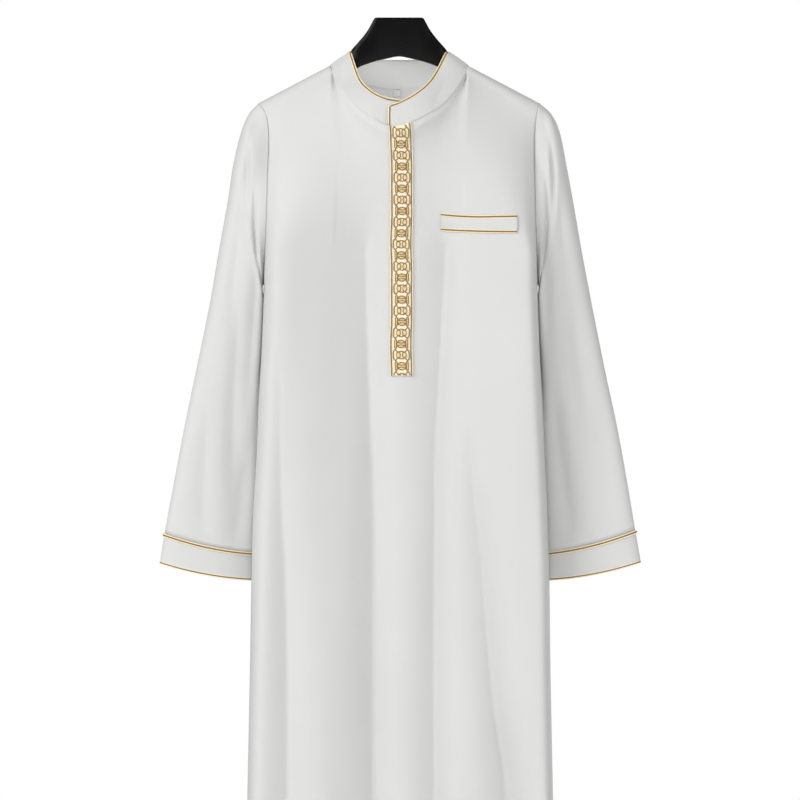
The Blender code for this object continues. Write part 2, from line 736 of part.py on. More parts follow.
def main():
    """Build every piece."""
    clear_scene()
    collection = bpy.data.collections.new("thobe_on_hanger")
    bpy.context.scene.collection.children.link(collection)
    cloth = new_material("robe_cloth", (0.80, 0.80, 0.79), 0.75)
    gold = new_material("gold_cord", (0.55, 0.38, 0.12), 0.45, 0.3)
    strip = new_material("placket_cloth", (0.86, 0.85, 0.80), 0.70)
    tag = new_material("label_cloth", (0.85, 0.85, 0.85), 0.70)
    black = new_material("hanger_plastic", (0.010, 0.010, 0.010), 0.40)

    front_grid = panel_grid(-1)
    back_grid = panel_grid(1)
    front_tree = surface(front_grid, True)
    back_tree = surface(back_grid, False)

    make_hanger(black, collection)
    make_front(front_grid, cloth, collection)
    make_back(back_grid, cloth, collection)
    for word, side in (("right", -1), ("left", 1)):
        rings = sleeve_grid(side, front_grid, back_grid)
        make_sleeve("sleeve_" + word, side, rings, cloth, collection)
        make_cuff("cuff_" + word, side, cloth, collection)
        make_cuff_piping("cuff_piping_" + word, side, gold, collection)
        make_cuff_hem_piping("cuff_hem_piping_" + word, side, gold, collection)
    ring = collar_grid()
    make_collar(ring, cloth, collection)
    make_collar_piping(ring, gold, collection)
    make_placket(front_tree, strip, collection)
    make_placket_cords(front_tree, gold, collection)
    make_pocket(front_tree, cloth, gold, collection)
    make_size_label(back_tree, tag, collection)


main()
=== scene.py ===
"""Looks of the robe on its hanger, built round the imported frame. Metres, +Z up, the front toward -Y."""

import math

import bpy
import numpy as np
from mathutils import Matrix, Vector
from mathutils.bvhtree import BVHTree


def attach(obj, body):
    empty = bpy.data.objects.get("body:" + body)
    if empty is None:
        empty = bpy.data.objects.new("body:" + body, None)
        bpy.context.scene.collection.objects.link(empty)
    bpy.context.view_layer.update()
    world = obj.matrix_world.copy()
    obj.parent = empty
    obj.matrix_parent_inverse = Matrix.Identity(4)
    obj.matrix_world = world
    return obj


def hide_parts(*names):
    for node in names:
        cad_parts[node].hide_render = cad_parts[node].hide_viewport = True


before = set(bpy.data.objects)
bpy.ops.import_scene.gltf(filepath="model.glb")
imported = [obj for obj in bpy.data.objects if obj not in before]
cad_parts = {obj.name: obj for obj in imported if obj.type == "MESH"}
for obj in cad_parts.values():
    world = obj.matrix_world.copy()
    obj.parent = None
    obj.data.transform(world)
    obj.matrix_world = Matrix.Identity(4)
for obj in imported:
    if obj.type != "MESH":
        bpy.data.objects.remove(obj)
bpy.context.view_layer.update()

# Cloth: walls, half the gap at a seam, and the gap below what lies on a panel
WALL = 0.001
COLLAR_WALL = 0.0016
THIN_WALL = 0.0007
TAG_WALL = 0.0004
SEAM = 0.00015
CLEAR = 0.0003

# Shoulders and heights
NECK_SIDE_X = 0.0934
NECK_SIDE_Z = -0.065
SHOULDER_SLOPE = 0.525
SHOULDER_X = 0.19
SHOULDER_Z = NECK_SIDE_Z - SHOULDER_SLOPE * (SHOULDER_X - NECK_SIDE_X)
ARMPIT_Z = -0.3602
YOKE_Z = -0.205
HEM_Z = -1.416
NECK_ROUND_SHARE = 0.47
NECK_SIDE_SHARE = 0.4916

# Shares of the half width where a panel's columns change, and the steps between them
HALF_COLUMNS = (0.0, 0.1, 0.2, 0.3, 0.4, 0.47, 0.4916, 0.575, 0.66, 0.74, 0.81, 0.87, 0.92, 0.96, 0.988, 1.0)
COLUMN_STEPS = (8, 8, 8, 7, 6, 3, 6, 6, 6, 5, 5, 4, 4, 3, 3)

# Side edge of the body: height, half width on the viewer's left, half width on the viewer's right
BODY_EDGE = (
    (-1.416, 0.2125, 0.2165),
    (-1.057, 0.2053, 0.2086),
    (-0.8816, 0.2018, 0.2051),
    (-0.76, 0.1998, 0.2036),
    (-0.66, 0.1971, 0.2005),
    (-0.6, 0.1933, 0.1978),
    (-0.53, 0.1905, 0.1946),
    (-0.45, 0.1863, 0.1906),
    (-0.36, 0.183, 0.1874),
    (-0.289, 0.1798, 0.1852),
    (-0.205, 0.1772, 0.183),
    (-0.169, 0.1758, 0.183),
    (-0.143, 0.1772, 0.1845),
    (-0.128, 0.181, 0.1868),
    (-0.1157, 0.19, 0.19),
)

# Half depth of the body: height, front, back
BODY_DEPTH = (
    (-1.416, 0.059, 0.062),
    (-1.0, 0.051, 0.056),
    (-0.7, 0.045, 0.052),
    (-0.45, 0.043, 0.05),
    (-0.3, 0.047, 0.05),
    (-0.2, 0.056, 0.05),
    (-0.15, 0.061, 0.049),
    (-0.1, 0.059, 0.0475),
    (-0.05, 0.054, 0.044),
)
ARMHOLE_HALF_DEPTH = 0.034
NECK_FLARE = 0.4
NECK_FLARE_REACH = 0.02
NECK_FLARE_END = 0.38
NECK_FLARE_FADE = 0.09
TOP_EASE = 0.15
# Power of the rounding toward the side seams: the front's left and right, the back, and the folds
FRONT_ROUNDING = (24.0, 50.0)
BACK_ROUNDING = 3.0
FOLD_ROUNDING = 14.0
DRIFT = 0.0004
HEM_FOLD = 0.028
HEM_FOLD_STEP = 0.0006
RELAX_ROUNDS = 240
RELAX_START = 0.22
RELAX_REACH = 0.11
RELAX_EDGE = 6

# Parts of the neck, as they follow each other in the two tables
FRONT_RIGHT = 0
FRONT_LEFT = 1
BACK = 2
# Neckline: share of the half width, then distance from the seam plane and height for each part
NECKLINE = (
    (0.0, 0.062, -0.1472, 0.062, -0.1472, 0.0475, -0.095),
    (0.1, 0.06, -0.1412, 0.0602, -0.1462, 0.0465, -0.0938),
    (0.2, 0.0545, -0.1313, 0.0545, -0.1345, 0.0435, -0.0905),
    (0.3, 0.044, -0.1192, 0.044, -0.1205, 0.0375, -0.084),
    (0.4, 0.029, -0.0972, 0.029, -0.0975, 0.0265, -0.0745),
    (0.47, 0.0115, -0.0745, 0.0115, -0.0745, 0.0105, -0.0672),
    (0.4916, 0.0, NECK_SIDE_Z, 0.0, NECK_SIDE_Z, 0.0, NECK_SIDE_Z),
)
# Top edge of the collar: column, then distance from the middle, distance from the hanger and height
COLLAR_TOP = (
    (0, 0.0, 0.055, -0.1186, 0.0, 0.054, -0.1155, 0.0, 0.037, -0.056),
    (1, 0.0165, 0.052, -0.1102, 0.0165, 0.0512, -0.1126, 0.0145, 0.0365, -0.0559),
    (2, 0.031, 0.045, -0.1005, 0.031, 0.045, -0.1072, 0.0285, 0.0345, -0.0552),
    (3, 0.0422, 0.036, -0.0903, 0.0432, 0.036, -0.0988, 0.0415, 0.03, -0.053),
    (4, 0.0528, 0.0225, -0.0752, 0.0552, 0.023, -0.0852, 0.0545, 0.0215, -0.0495),
    (5, 0.0636, 0.009, -0.0535, 0.0655, 0.009, -0.0566, 0.065, 0.0095, -0.0472),
    (6, 0.0682, 0.0, -0.0463, 0.0682, 0.0, -0.0463, 0.0682, 0.0, -0.0463),
)
COLLAR_ROUND = 0.56
COLLAR_HEIGHT = 0.03
COLLAR_BULGE = 0.0012
COLLAR_LAP = 0.0012
SEAM_STEP = 0.0008
SEAM_STEP_LEFT = 0.0003
OVERLAP_END_X = -0.0112
OVERLAP_TOP = ((0.0, 0.055, -0.1186), (0.4, 0.0556, -0.1202), (1.0, 0.0563, -0.1222))
UNDERLAP_END_X = 0.003
UNDERLAP_SETBACK = 0.0036

# Valleys of the front: rows of height, place, depth, width on the left, width on the right
FRONT_VALLEYS = (
    (
        (-1.416, -0.034, 0.04, 0.046, 0.034),
        (-1.08, -0.0345, 0.0395, 0.046, 0.034),
        (-0.8, -0.0345, 0.037, 0.05, 0.036),
        (-0.65, -0.035, 0.034, 0.054, 0.036),
        (-0.45, -0.042, 0.0285, 0.056, 0.034),
        (-0.32, -0.045, 0.0205, 0.058, 0.032),
        (-0.25, -0.047, 0.012, 0.052, 0.028),
        (-0.19, -0.049, 0.0065, 0.05, 0.027),
        (-0.145, -0.052, 0.0, 0.044, 0.026),
    ),
    (
        (-1.416, 0.049, 0.037, 0.04, 0.026),
        (-1.08, 0.048, 0.0345, 0.04, 0.024),
        (-0.75, 0.0475, 0.032, 0.038, 0.022),
        (-0.58, 0.0495, 0.0285, 0.037, 0.02),
        (-0.42, 0.058, 0.025, 0.036, 0.02),
        (-0.32, 0.063, 0.02, 0.032, 0.018),
        (-0.25, 0.064, 0.011, 0.028, 0.016),
        (-0.165, 0.064, 0.0, 0.026, 0.014),
    ),
    (
        (-1.416, 0.172, 0.04, 0.044, 0.026),
        (-1.03, 0.143, 0.036, 0.04, 0.022),
        (-0.92, 0.127, 0.031, 0.036, 0.02),
        (-0.73, 0.1107, 0.0215, 0.028, 0.018),
        (-0.62, 0.099, 0.01, 0.016, 0.014),
        (-0.55, 0.091, 0.0, 0.01, 0.01),
    ),
    (
        (-1.416, -0.15, 0.029, 0.05, 0.028),
        (-1.08, -0.15, 0.025, 0.048, 0.026),
        (-0.8, -0.152, 0.019, 0.042, 0.024),
        (-0.62, -0.16, 0.01, 0.03, 0.022),
        (-0.4, -0.164, 0.0, 0.024, 0.02),
    ),
)
VALLEY_POINT = 1.1
# Broad swells of the front: rows of height, place, height of the swell, half width
FRONT_SWELLS = (
    (
        (-1.416, 0.205, 0.008, 0.095),
        (-0.7, 0.205, 0.014, 0.105),
        (-0.35, 0.2, 0.019, 0.1),
        (-0.2, 0.185, 0.013, 0.09),
        (-0.13, 0.16, 0.002, 0.07),
    ),
    (
        (-1.416, -0.205, 0.008, 0.095),
        (-0.7, -0.2, 0.013, 0.105),
        (-0.35, -0.195, 0.017, 0.105),
        (-0.2, -0.18, 0.0125, 0.09),
        (-0.15, -0.162, 0.0095, 0.08),
        (-0.118, -0.152, 0.002, 0.07),
    ),
)
# The same for the back, where the photograph shows nothing
BACK_VALLEYS = (
    (
        (-1.416, -0.121, 0.02, 0.038, 0.022),
        (-0.9, -0.118, 0.014, 0.036, 0.022),
        (-0.55, -0.108, 0.006, 0.034, 0.024),
        (-0.35, -0.105, 0.0, 0.03, 0.024),
    ),
    (
        (-1.416, -0.01, 0.017, 0.022, 0.036),
        (-0.85, -0.006, 0.012, 0.022, 0.034),
        (-0.5, 0.004, 0.005, 0.024, 0.03),
        (-0.3, 0.008, 0.0, 0.024, 0.03),
    ),
    (
        (-1.416, 0.128, 0.021, 0.026, 0.04),
        (-0.95, 0.122, 0.015, 0.024, 0.038),
        (-0.6, 0.108, 0.007, 0.024, 0.034),
        (-0.4, 0.1, 0.0, 0.024, 0.03),
    ),
    (
        (-1.416, 0.06, 0.011, 0.018, 0.024),
        (-1.0, 0.056, 0.006, 0.016, 0.022),
        (-0.75, 0.054, 0.0, 0.016, 0.02),
    ),
)
BACK_SWELLS = (
    (
        (-1.416, 0.0, 0.004, 0.06),
        (-0.35, 0.0, 0.005, 0.08),
        (-0.15, 0.0, 0.0, 0.08),
    ),
)

# Sleeve stations: number, outer edge right, outer edge left, outer height, inner edge beyond the body's,
# inner height, outer set back, inner set back, half depth, sag
SLEEVE = (
    (0, 0.1905, 0.1905, -0.1157, 0.001, ARMPIT_Z, 0.0, 0.0, 0.034, 0.0),
    (1, 0.2065, 0.2035, -0.131, 0.0012, -0.364, 0.0001, 0.0015, 0.033, 0.0),
    (2, 0.218, 0.214, -0.156, 0.0008, -0.37, -0.0002, 0.004, 0.0315, 0.0),
    (3, 0.2268, 0.2245, -0.2, -0.001, -0.382, -0.0015, 0.0, 0.029, 0.0),
    (4, 0.236, 0.232, -0.25, -0.0015, -0.401, -0.0017, 0.002, 0.0265, 0.0),
    (5, 0.2478, 0.2443, -0.318, -0.002, -0.432, -0.001, 0.006, 0.024, 0.0005),
    (6, 0.261, 0.2562, -0.3875, -0.0025, -0.477, 0.001, 0.012, 0.022, 0.001),
    (7, 0.2785, 0.2742, -0.475, -0.005, -0.541, 0.003, 0.018, 0.02, 0.002),
    (8, 0.296, 0.2913, -0.557, -0.008, -0.6095, 0.004, 0.0225, 0.0185, 0.003),
    (9, 0.3092, 0.3053, -0.63, -0.01, -0.6712, 0.004, 0.0245, 0.0175, 0.004),
    (10, 0.3197, 0.3175, -0.693, -0.0105, -0.7242, 0.004, 0.025, 0.0165, 0.005),
)
CUFF = (
    (0, 0.3198, 0.3176, -0.6935, -0.0105, -0.7247, 0.004, 0.025, 0.0165, 0.005),
    (1, 0.3236, 0.3205, -0.7145, -0.0105, -0.7428, 0.004, 0.025, 0.016, 0.005),
    (2, 0.3272, 0.3236, -0.7353, -0.0105, -0.76, 0.004, 0.025, 0.0155, 0.005),
)

SLEEVE_ROUNDING = (5.0, 3.0)
STATION_LENGTH = 0.058
PLACE_WIDTH = 0.05

# Placket, and the pocket's X, top and bottom
PLACKET_LEFT_X = -0.0115
PLACKET_RIGHT_X = 0.018
PLACKET_TOP_LEFT_Z = -0.1468
PLACKET_TOP_RIGHT_Z = -0.143
PLACKET_BOTTOM_Z = -0.485
POCKET = (
    (0.0567, -0.2673, -0.287),
    (0.082, -0.2697, -0.2888),
    (0.108, -0.2708, -0.29),
    (0.134, -0.2705, -0.2906),
    (0.1598, -0.2702, -0.2909),
)

# Hanger sections: distance along X, top, bottom, half thickness
HANGER = (
    (-0.02, 0.0, -0.0563, 0.007),
    (0.0, 0.0, -0.0527, 0.007),
    (0.02, 0.0, -0.0563, 0.007),
    (0.0315, -0.0003, -0.059, 0.007),
    (0.0338, -0.002, -0.0597, 0.007),
    (0.0412, -0.0155, -0.0622, 0.007),
    (0.048, -0.025, -0.0646, 0.007),
    (0.054, -0.0322, -0.0671, 0.007),
    (0.059, -0.0378, -0.0698, 0.0064),
    (0.0622, -0.0413, -0.071, 0.0054),
    (0.0646, -0.0445, -0.072, 0.0044),
    (0.0662, -0.05, -0.073, 0.0042),
    (0.068, -0.056, -0.0745, 0.0042),
    (0.08, -0.067, -0.083, 0.0048),
    (0.09, -0.074, -0.0905, 0.0054),
    (0.1, -0.077, -0.097, 0.0066),
    (0.11, -0.079, -0.103, 0.008),
    (0.13, -0.088, -0.114, 0.01),
    (0.15, -0.098, -0.124, 0.0118),
    (0.164, -0.1058, -0.1305, 0.0118),
    (0.173, -0.1118, -0.134, 0.0108),
    (0.1775, -0.116, -0.1335, 0.008),
    (0.1795, -0.1205, -0.13, 0.0045),
)
# Roll of the cloth over the hanger's arm: distance along X, radius
SHOULDER_ROLL = (
    (0.0934, 0.0108),
    (0.11, 0.0116),
    (0.13, 0.0125),
    (0.15, 0.0142),
    (0.17, 0.015),
    (0.19, 0.015),
)


def smooth(t):
    """Ease from 0 to 1."""
    t = min(1.0, max(0.0, t))
    return t * t * (3.0 - 2.0 * t)


def from_table(rows, place, column):
    """Read a column at a place of the first column, with smooth joins between the rows."""
    if rows[0][0] > rows[-1][0]:
        rows = tuple(reversed(rows))
    if place <= rows[0][0]:
        return rows[0][column]
    if place >= rows[-1][0]:
        return rows[-1][column]
    i = 0
    while place > rows[i + 1][0]:
        i += 1

    def slope(k):
        low = rows[max(0, k - 1)]
        high = rows[min(len(rows) - 1, k + 1)]
        return (high[column] - low[column]) / (high[0] - low[0])

    span = rows[i + 1][0] - rows[i][0]
    t = (place - rows[i][0]) / span
    a = rows[i][column]
    b = rows[i + 1][column]
    rise = b - a
    start = slope(i) * span - rise
    end = slope(i + 1) * span - rise
    return a + rise * t + t * (1 - t) * (start * (1 - t) - end * t)


def spread(low, high, steps):
    """Even values from low to high."""
    return [low + (high - low) * k / steps for k in range(steps + 1)]


# Panels


def shoulder_height(x):
    """Height of the shoulder seam."""
    return NECK_SIDE_Z - SHOULDER_SLOPE * (abs(x) - NECK_SIDE_X)


def shoulder_radius(x):
    """Radius of the cloth's roll over the hanger's arm."""
    return from_table(SHOULDER_ROLL, abs(x), 1)


def neck_part(s, facing):
    """Part of the neck on one side of a panel."""
    if facing > 0:
        return BACK
    return FRONT_LEFT if s < 0 else FRONT_RIGHT


def neckline_at(share, part):
    """Distance from the seam plane and height of the neckline."""
    out, z = [from_table(NECKLINE, share, 1 + 2 * part + k) for k in range(2)]
    return max(0.0, out), z


def top_edge(s, facing):
    """Distance from the seam plane and height of a panel's top edge."""
    share = abs(s)
    if share >= NECK_SIDE_SHARE:
        return 0.0, shoulder_height(share * SHOULDER_X)
    return neckline_at(share, neck_part(s, facing))


def armhole_depth(z):
    """Half depth of the armhole at a height, and none below the armpit."""
    middle = (SHOULDER_Z + ARMPIT_Z) / 2
    half = (SHOULDER_Z - ARMPIT_Z) / 2
    share = 1.0 - ((z - middle) / half) ** 2
    return ARMHOLE_HALF_DEPTH * math.sqrt(max(0.0, share))


def half_width(s, edge_z):
    """Half width of a row. The hollow beside the armhole fades toward the middle."""
    side = 1 if s < 0 else 2
    edge = from_table(BODY_EDGE, edge_z, side)
    if edge_z <= YOKE_Z:
        return edge
    chest = from_table(BODY_EDGE, YOKE_Z, side)
    plain = SHOULDER_X + (chest - SHOULDER_X) * smooth((SHOULDER_Z - edge_z) / (SHOULDER_Z - YOKE_Z))
    return plain + (edge - plain) * s ** 4


def valley_depth(x, z, valleys):
    """How far the valleys take the cloth inward."""
    total = 0.0
    for rows in valleys:
        if z >= rows[-1][0]:
            continue
        away = x - from_table(rows, z, 1)
        width = from_table(rows, z, 3 if away < 0 else 4)
        total += max(0.0, from_table(rows, z, 2)) * math.exp(-abs(away / width) ** VALLEY_POINT)
    return total


def swell_height(x, z, swells):
    """How far the broad swells bring the cloth outward."""
    total = 0.0
    for rows in swells:
        away = (x - from_table(rows, z, 1)) / from_table(rows, z, 3)
        total += from_table(rows, z, 2) * math.exp(-away * away)
    return total


def drift(x, z, seed):
    """Slow unevenness of hanging cloth, longer along its length than across."""
    wave = math.sin(x * 61.0 + 2.3 * math.sin(z * 4.1 + seed) + seed)
    wave += 0.6 * math.sin(x * 113.0 + 1.7 * math.sin(z * 6.3 + 2.0 * seed) + 1.3 + seed)
    wave += 0.35 * math.sin(x * 37.0 - z * 9.0 + 3.0 * seed)
    return wave


def panel_at(s, z, edge_z, facing):
    """A point of the front panel (facing -1) or the back panel (facing 1)."""
    valleys = FRONT_VALLEYS if facing < 0 else BACK_VALLEYS
    swells = FRONT_SWELLS if facing < 0 else BACK_SWELLS
    x = s * half_width(s, edge_z)
    top_distance, top = top_edge(s, facing)
    drop = max(0.0, top - z)
    radius = shoulder_radius(s * SHOULDER_X)
    roll = radius * math.sqrt(max(0.0, 1.0 - (1.0 - min(1.0, drop / radius)) ** 2))
    shoulder_share = smooth((abs(s) - NECK_ROUND_SHARE) / (NECK_SIDE_SHARE - NECK_ROUND_SHARE))
    flare = NECK_FLARE * drop * math.exp(-drop / NECK_FLARE_REACH)
    flare *= 1.0 - smooth((abs(s) - NECK_FLARE_END) / NECK_FLARE_FADE)
    near_top = top_distance + roll * shoulder_share + flare
    side = armhole_depth(z)
    depth = from_table(BODY_DEPTH, z, 1 if facing < 0 else 2)
    power = FRONT_ROUNDING[s > 0] if facing < 0 else BACK_ROUNDING
    rounding = math.sqrt(max(0.0, 1.0 - abs(s) ** power))
    hanging = side + (depth - side) * rounding
    inside = 1.0 - abs(s) ** max(FOLD_ROUNDING, power)
    hanging += (swell_height(x, z, swells) - valley_depth(x, z, valleys)) * inside
    hanging += DRIFT * drift(x, z, 1.0 + facing) * inside
    hanging += HEM_FOLD_STEP * smooth((HEM_Z + HEM_FOLD - z) / 0.005)
    share = smooth(drop / TOP_EASE)
    distance = near_top * (1.0 - share) + hanging * share
    return Vector((x, facing * max(SEAM, distance), z))


# Rows of a panel: degrees of the roll, shares of the yoke, and heights below it
ROWS = [("roll", a) for a in spread(0, 90, 8)] + [("yoke", k / 20) for k in range(1, 20)]
ROWS += [("level", z) for z in spread(YOKE_Z, ARMPIT_Z, 24) + spread(ARMPIT_Z, HEM_Z, 150)[1:]]


def row_height(s, row, facing):
    """Height of a panel's point in a row."""
    kind, value = row
    if kind == "level":
        return value
    top = top_edge(s, facing)[1]
    radius = shoulder_radius(s * SHOULDER_X)
    if kind == "roll":
        return top - radius * (1.0 - math.cos(math.radians(value)))
    return (top - radius) * (1.0 - value) + YOKE_Z * value


def both_halves(places, steps):
    """Values from the viewer's left to the right, with even steps between the places on each half."""
    half = []
    for low, high, count in zip(places, places[1:], steps):
        half += spread(low, high, count)[:-1]
    half.append(places[-1])
    return [-x for x in reversed(half[1:])] + half


def panel_grid(facing):
    """All points of a panel, from the top row down."""
    columns = both_halves(HALF_COLUMNS, COLUMN_STEPS)
    grid = []
    for row in ROWS:
        edge_z = row_height(1.0, row, facing)
        grid.append([panel_at(s, row_height(s, row, facing), edge_z, facing) for s in columns])
    relax(grid)
    return grid


def relax(grid):
    """Even out the yoke, with the seams held."""
    depth = np.array([[point.y for point in row] for row in grid])
    rows, columns = depth.shape
    hold = np.zeros(depth.shape)
    for j, (kind, value) in enumerate(ROWS):
        if kind == "roll":
            strength = 0.0
        elif kind == "yoke":
            strength = smooth(value / RELAX_START)
        else:
            strength = smooth((value - YOKE_Z + RELAX_REACH) / RELAX_REACH)
        hold[j, 1:-1] = strength
    hold[:, :RELAX_EDGE] *= np.linspace(0.0, 1.0, RELAX_EDGE)
    hold[:, -RELAX_EDGE:] *= np.linspace(1.0, 0.0, RELAX_EDGE)
    for _ in range(RELAX_ROUNDS):
        inner = depth[1:-1, 1:-1]
        around = (depth[1:-1, :-2] + depth[1:-1, 2:]) * 0.4 + (depth[:-2, 1:-1] + depth[2:, 1:-1]) * 0.1
        depth[1:-1, 1:-1] = inner + (around - inner) * hold[1:-1, 1:-1]
    for j in range(rows):
        for i in range(columns):
            grid[j][i].y = float(depth[j, i])


# Sleeves and cuffs

ARMHOLE_ROWS = sum(1 for row in ROWS if row[0] != "level" or row[1] >= ARMPIT_Z - 1e-6)


def armhole_loop(side, front_grid, back_grid):
    """Edge of an armhole: the top, the front edge down, the armpit and the back edge up."""
    column = -1 if side > 0 else 0
    last = ARMHOLE_ROWS - 1
    front = [front_grid[j][column] for j in range(last + 1)]
    back = [back_grid[j][column] for j in range(last + 1)]
    top = (front[0] + back[0]) / 2
    bottom = (front[last] + back[last]) / 2
    return [top] + front[1:last] + [bottom] + list(reversed(back[1:last]))


def ring_places():
    """For each point of a ring: place across the sleeve (1 outer, -1 inner) and face (-1 front, 1 back)."""
    last = ARMHOLE_ROWS - 1
    heights = [row_height(1.0, row, -1) for row in ROWS[:last + 1]]
    across = [2.0 * (z - ARMPIT_Z) / (heights[0] - ARMPIT_Z) - 1.0 for z in heights]
    front = [(c, -1) for c in across[1:last]]
    back = [(c, 1) for c in reversed(across[1:last])]
    return [(1.0, 0)] + front + [(-1.0, 0)] + back


PLACES = ring_places()

# Creases of the sleeves: start station, start place, end station, end place, depth, half width
SLEEVE_CREASES_RIGHT = (
    (0.3, 0.9, 2.6, 0.2, 0.005, 0.01),
    (0.6, 0.35, 2.2, -0.3, 0.0035, 0.009),
    (1.5, -0.55, 5.5, -0.6, 0.006, 0.016),
    (3.0, 0.45, 6.5, 0.15, 0.0035, 0.014),
    (5.2, -0.1, 8.4, 0.25, 0.004, 0.013),
    (7.0, -0.55, 9.6, -0.3, 0.004, 0.012),
    (7.6, 0.55, 9.8, 0.4, 0.003, 0.01),
)
SLEEVE_CREASES_LEFT = (
    (0.3, 0.92, 2.4, 0.35, 0.005, 0.01),
    (0.9, 0.1, 2.6, -0.45, 0.0045, 0.009),
    (2.0, 0.55, 5.6, 0.3, 0.004, 0.014),
    (3.2, -0.6, 6.8, -0.55, 0.0045, 0.014),
    (5.6, 0.0, 8.6, -0.3, 0.0045, 0.014),
    (7.6, 0.5, 9.8, 0.2, 0.003, 0.011),
    (8.0, -0.6, 9.9, -0.45, 0.004, 0.012),
)


def crease_depth(u, v, creases, unit_u, unit_v):
    """How far creases, each a line between two places, take the cloth inward."""
    total = 0.0
    for u0, v0, u1, v1, depth, width in creases:
        du, dv = (u1 - u0) * unit_u, (v1 - v0) * unit_v
        pu, pv = (u - u0) * unit_u, (v - v0) * unit_v
        span = du * du + dv * dv
        along = (pu * du + pv * dv) / span
        if along < -0.3 or along > 1.3:
            continue
        away = (pu * dv - pv * du) / math.sqrt(span)
        if abs(away) > 3.5 * width:
            continue
        fade = smooth((along + 0.25) / 0.5) * smooth((1.25 - along) / 0.5)
        total += depth * fade * math.exp(-abs(away / width) ** 1.6)
    return total


# How much lower the cuff seam lies at the outside of the viewer's left sleeve: station, drop
SLEEVE_END_DROP = ((0, 0.0), (7, 0.0), (9, 0.0026), (10, 0.0048))
CUFF_DROP = ((0, 0.0048), (1, 0.003), (2, 0.0013))


def sleeve_ring(side, t, rows):
    """One ring of a sleeve or a cuff at a station, which may lie between two stations."""
    outer_x = from_table(rows, t, 1 if side > 0 else 2)
    shape = [from_table(rows, t, k) for k in range(3, 10)]
    outer_z, beyond, inner_z, outer_back, inner_back, half, sag = shape
    inner_x = from_table(BODY_EDGE, inner_z, 2 if side > 0 else 1) + beyond
    lower = from_table(CUFF_DROP if rows is CUFF else SLEEVE_END_DROP, t, 1) if side < 0 else 0.0
    ring = []
    for across, face in PLACES:
        share = (across + 1.0) / 2.0
        x = inner_x + (outer_x - inner_x) * share
        y = inner_back + (outer_back - inner_back) * share
        z = inner_z + (outer_z - inner_z) * share
        round_share = math.sqrt(max(0.0, 1.0 - abs(across) ** SLEEVE_ROUNDING[across > 0.0]))
        drop = sag * (1.0 - across * across) * (1.0 if face < 0 else 0.4) + lower * share
        ring.append(Vector((side * x, y + face * half * round_share, z - drop)))
    return ring


def sleeve_station(side, t):
    """A ring of the sleeve with its creases."""
    creases = SLEEVE_CREASES_RIGHT if side > 0 else SLEEVE_CREASES_LEFT
    ring = sleeve_ring(side, t, SLEEVE)
    result = []
    for point, (across, face) in zip(ring, PLACES):
        place = across if face < 0 else -0.8 * across
        depth = crease_depth(t, place, creases, STATION_LENGTH, PLACE_WIDTH)
        depth += 0.0005 * drift(across * 0.06 + 0.3 * face, t * 0.05, 2.0 + side)
        keep = smooth(t / 0.6) * (1.0 - across ** 6)
        point.y -= face * depth * keep
        result.append(point)
    return result


def sleeve_grid(side, front_grid, back_grid):
    """All rings of a sleeve, from the armhole to the cuff seam."""
    loop = armhole_loop(side, front_grid, back_grid)
    start = sleeve_ring(side, 0.0, SLEEVE)
    grid = []
    for t in spread(0.0, 10.0, 84):
        share = 1.0 - smooth(t / 1.1)
        ring = sleeve_station(side, t)
        grid.append([point + (edge - first) * share for point, edge, first in zip(ring, loop, start)])
    grid[0] = [point + Vector((side * 2 * SEAM, 0.0, 0.0)) for point in loop]
    return grid


def cuff_grid(side):
    """All rings of a cuff."""
    return [sleeve_ring(side, t, CUFF) for t in spread(0.0, 2.0, 18)]


# Collar


def collar_base(place, sign, part):
    """Point of the neckline at a collar column, which may lie between two columns."""
    low = min(5, int(place))
    share = place - low
    s = HALF_COLUMNS[low] * (1 - share) + HALF_COLUMNS[low + 1] * share
    out, z = neckline_at(s, part)
    return Vector((sign * s * SHOULDER_X, out if part == BACK else -out, z))


def collar_top(place, sign, part):
    """Point of the collar's top edge at a column."""
    x, out, z = [from_table(COLLAR_TOP, place, 1 + 3 * part + k) for k in range(3)]
    return Vector((sign * x, out if part == BACK else -out, z))


def collar_pairs():
    """Base and top points round the neck with their name, from the end on top to the end below."""
    over = -OVERLAP_END_X / (HALF_COLUMNS[1] * SHOULDER_X)
    under = UNDERLAP_END_X / (HALF_COLUMNS[1] * SHOULDER_X)
    setback = Vector((0.0, UNDERLAP_SETBACK, 0.0))
    pairs = []
    for share in spread(1.0, 0.0, 8)[:-1]:
        out, z = [from_table(OVERLAP_TOP, share, k) for k in (1, 2)]
        top = Vector((OVERLAP_END_X * share, -out, z))
        pairs.append((collar_base(over * share, -1, FRONT_LEFT), top, "over"))
    for places, sign, part, name in ((spread(0, 6, 48)[:-1], 1, FRONT_RIGHT, "over"),
                                     (spread(6, 0, 42)[:-1], 1, BACK, "back"),
                                     (spread(0, 6, 42)[:-1], -1, BACK, "back"),
                                     (spread(6, 0, 48)[:-1], -1, FRONT_LEFT, "under"),
                                     (spread(0, under, 3), 1, FRONT_LEFT, "under")):
        for place in places:
            shift = Vector()
            if name == "under":
                shift = setback * (smooth((2.2 - place) / 1.3) if sign < 0 else 1.0)
            base, top = collar_base(place, sign, part), collar_top(place, sign, part)
            pairs.append((base + shift, top + shift, name))
    return pairs


# Creases of the collar: start place round the neck and share of the height, end place and share,
# depth, half width
COLLAR_CREASES = (
    (0.315, 0.15, 0.345, 0.9, 0.0022, 0.0035),
    (0.352, 0.05, 0.372, 0.8, 0.0018, 0.003),
    (0.64, 0.2, 0.675, 0.95, 0.0016, 0.004),
    (0.735, 0.25, 0.8, 0.75, 0.0018, 0.005),
    (0.15, 0.7, 0.215, 0.35, 0.001, 0.0045),
)


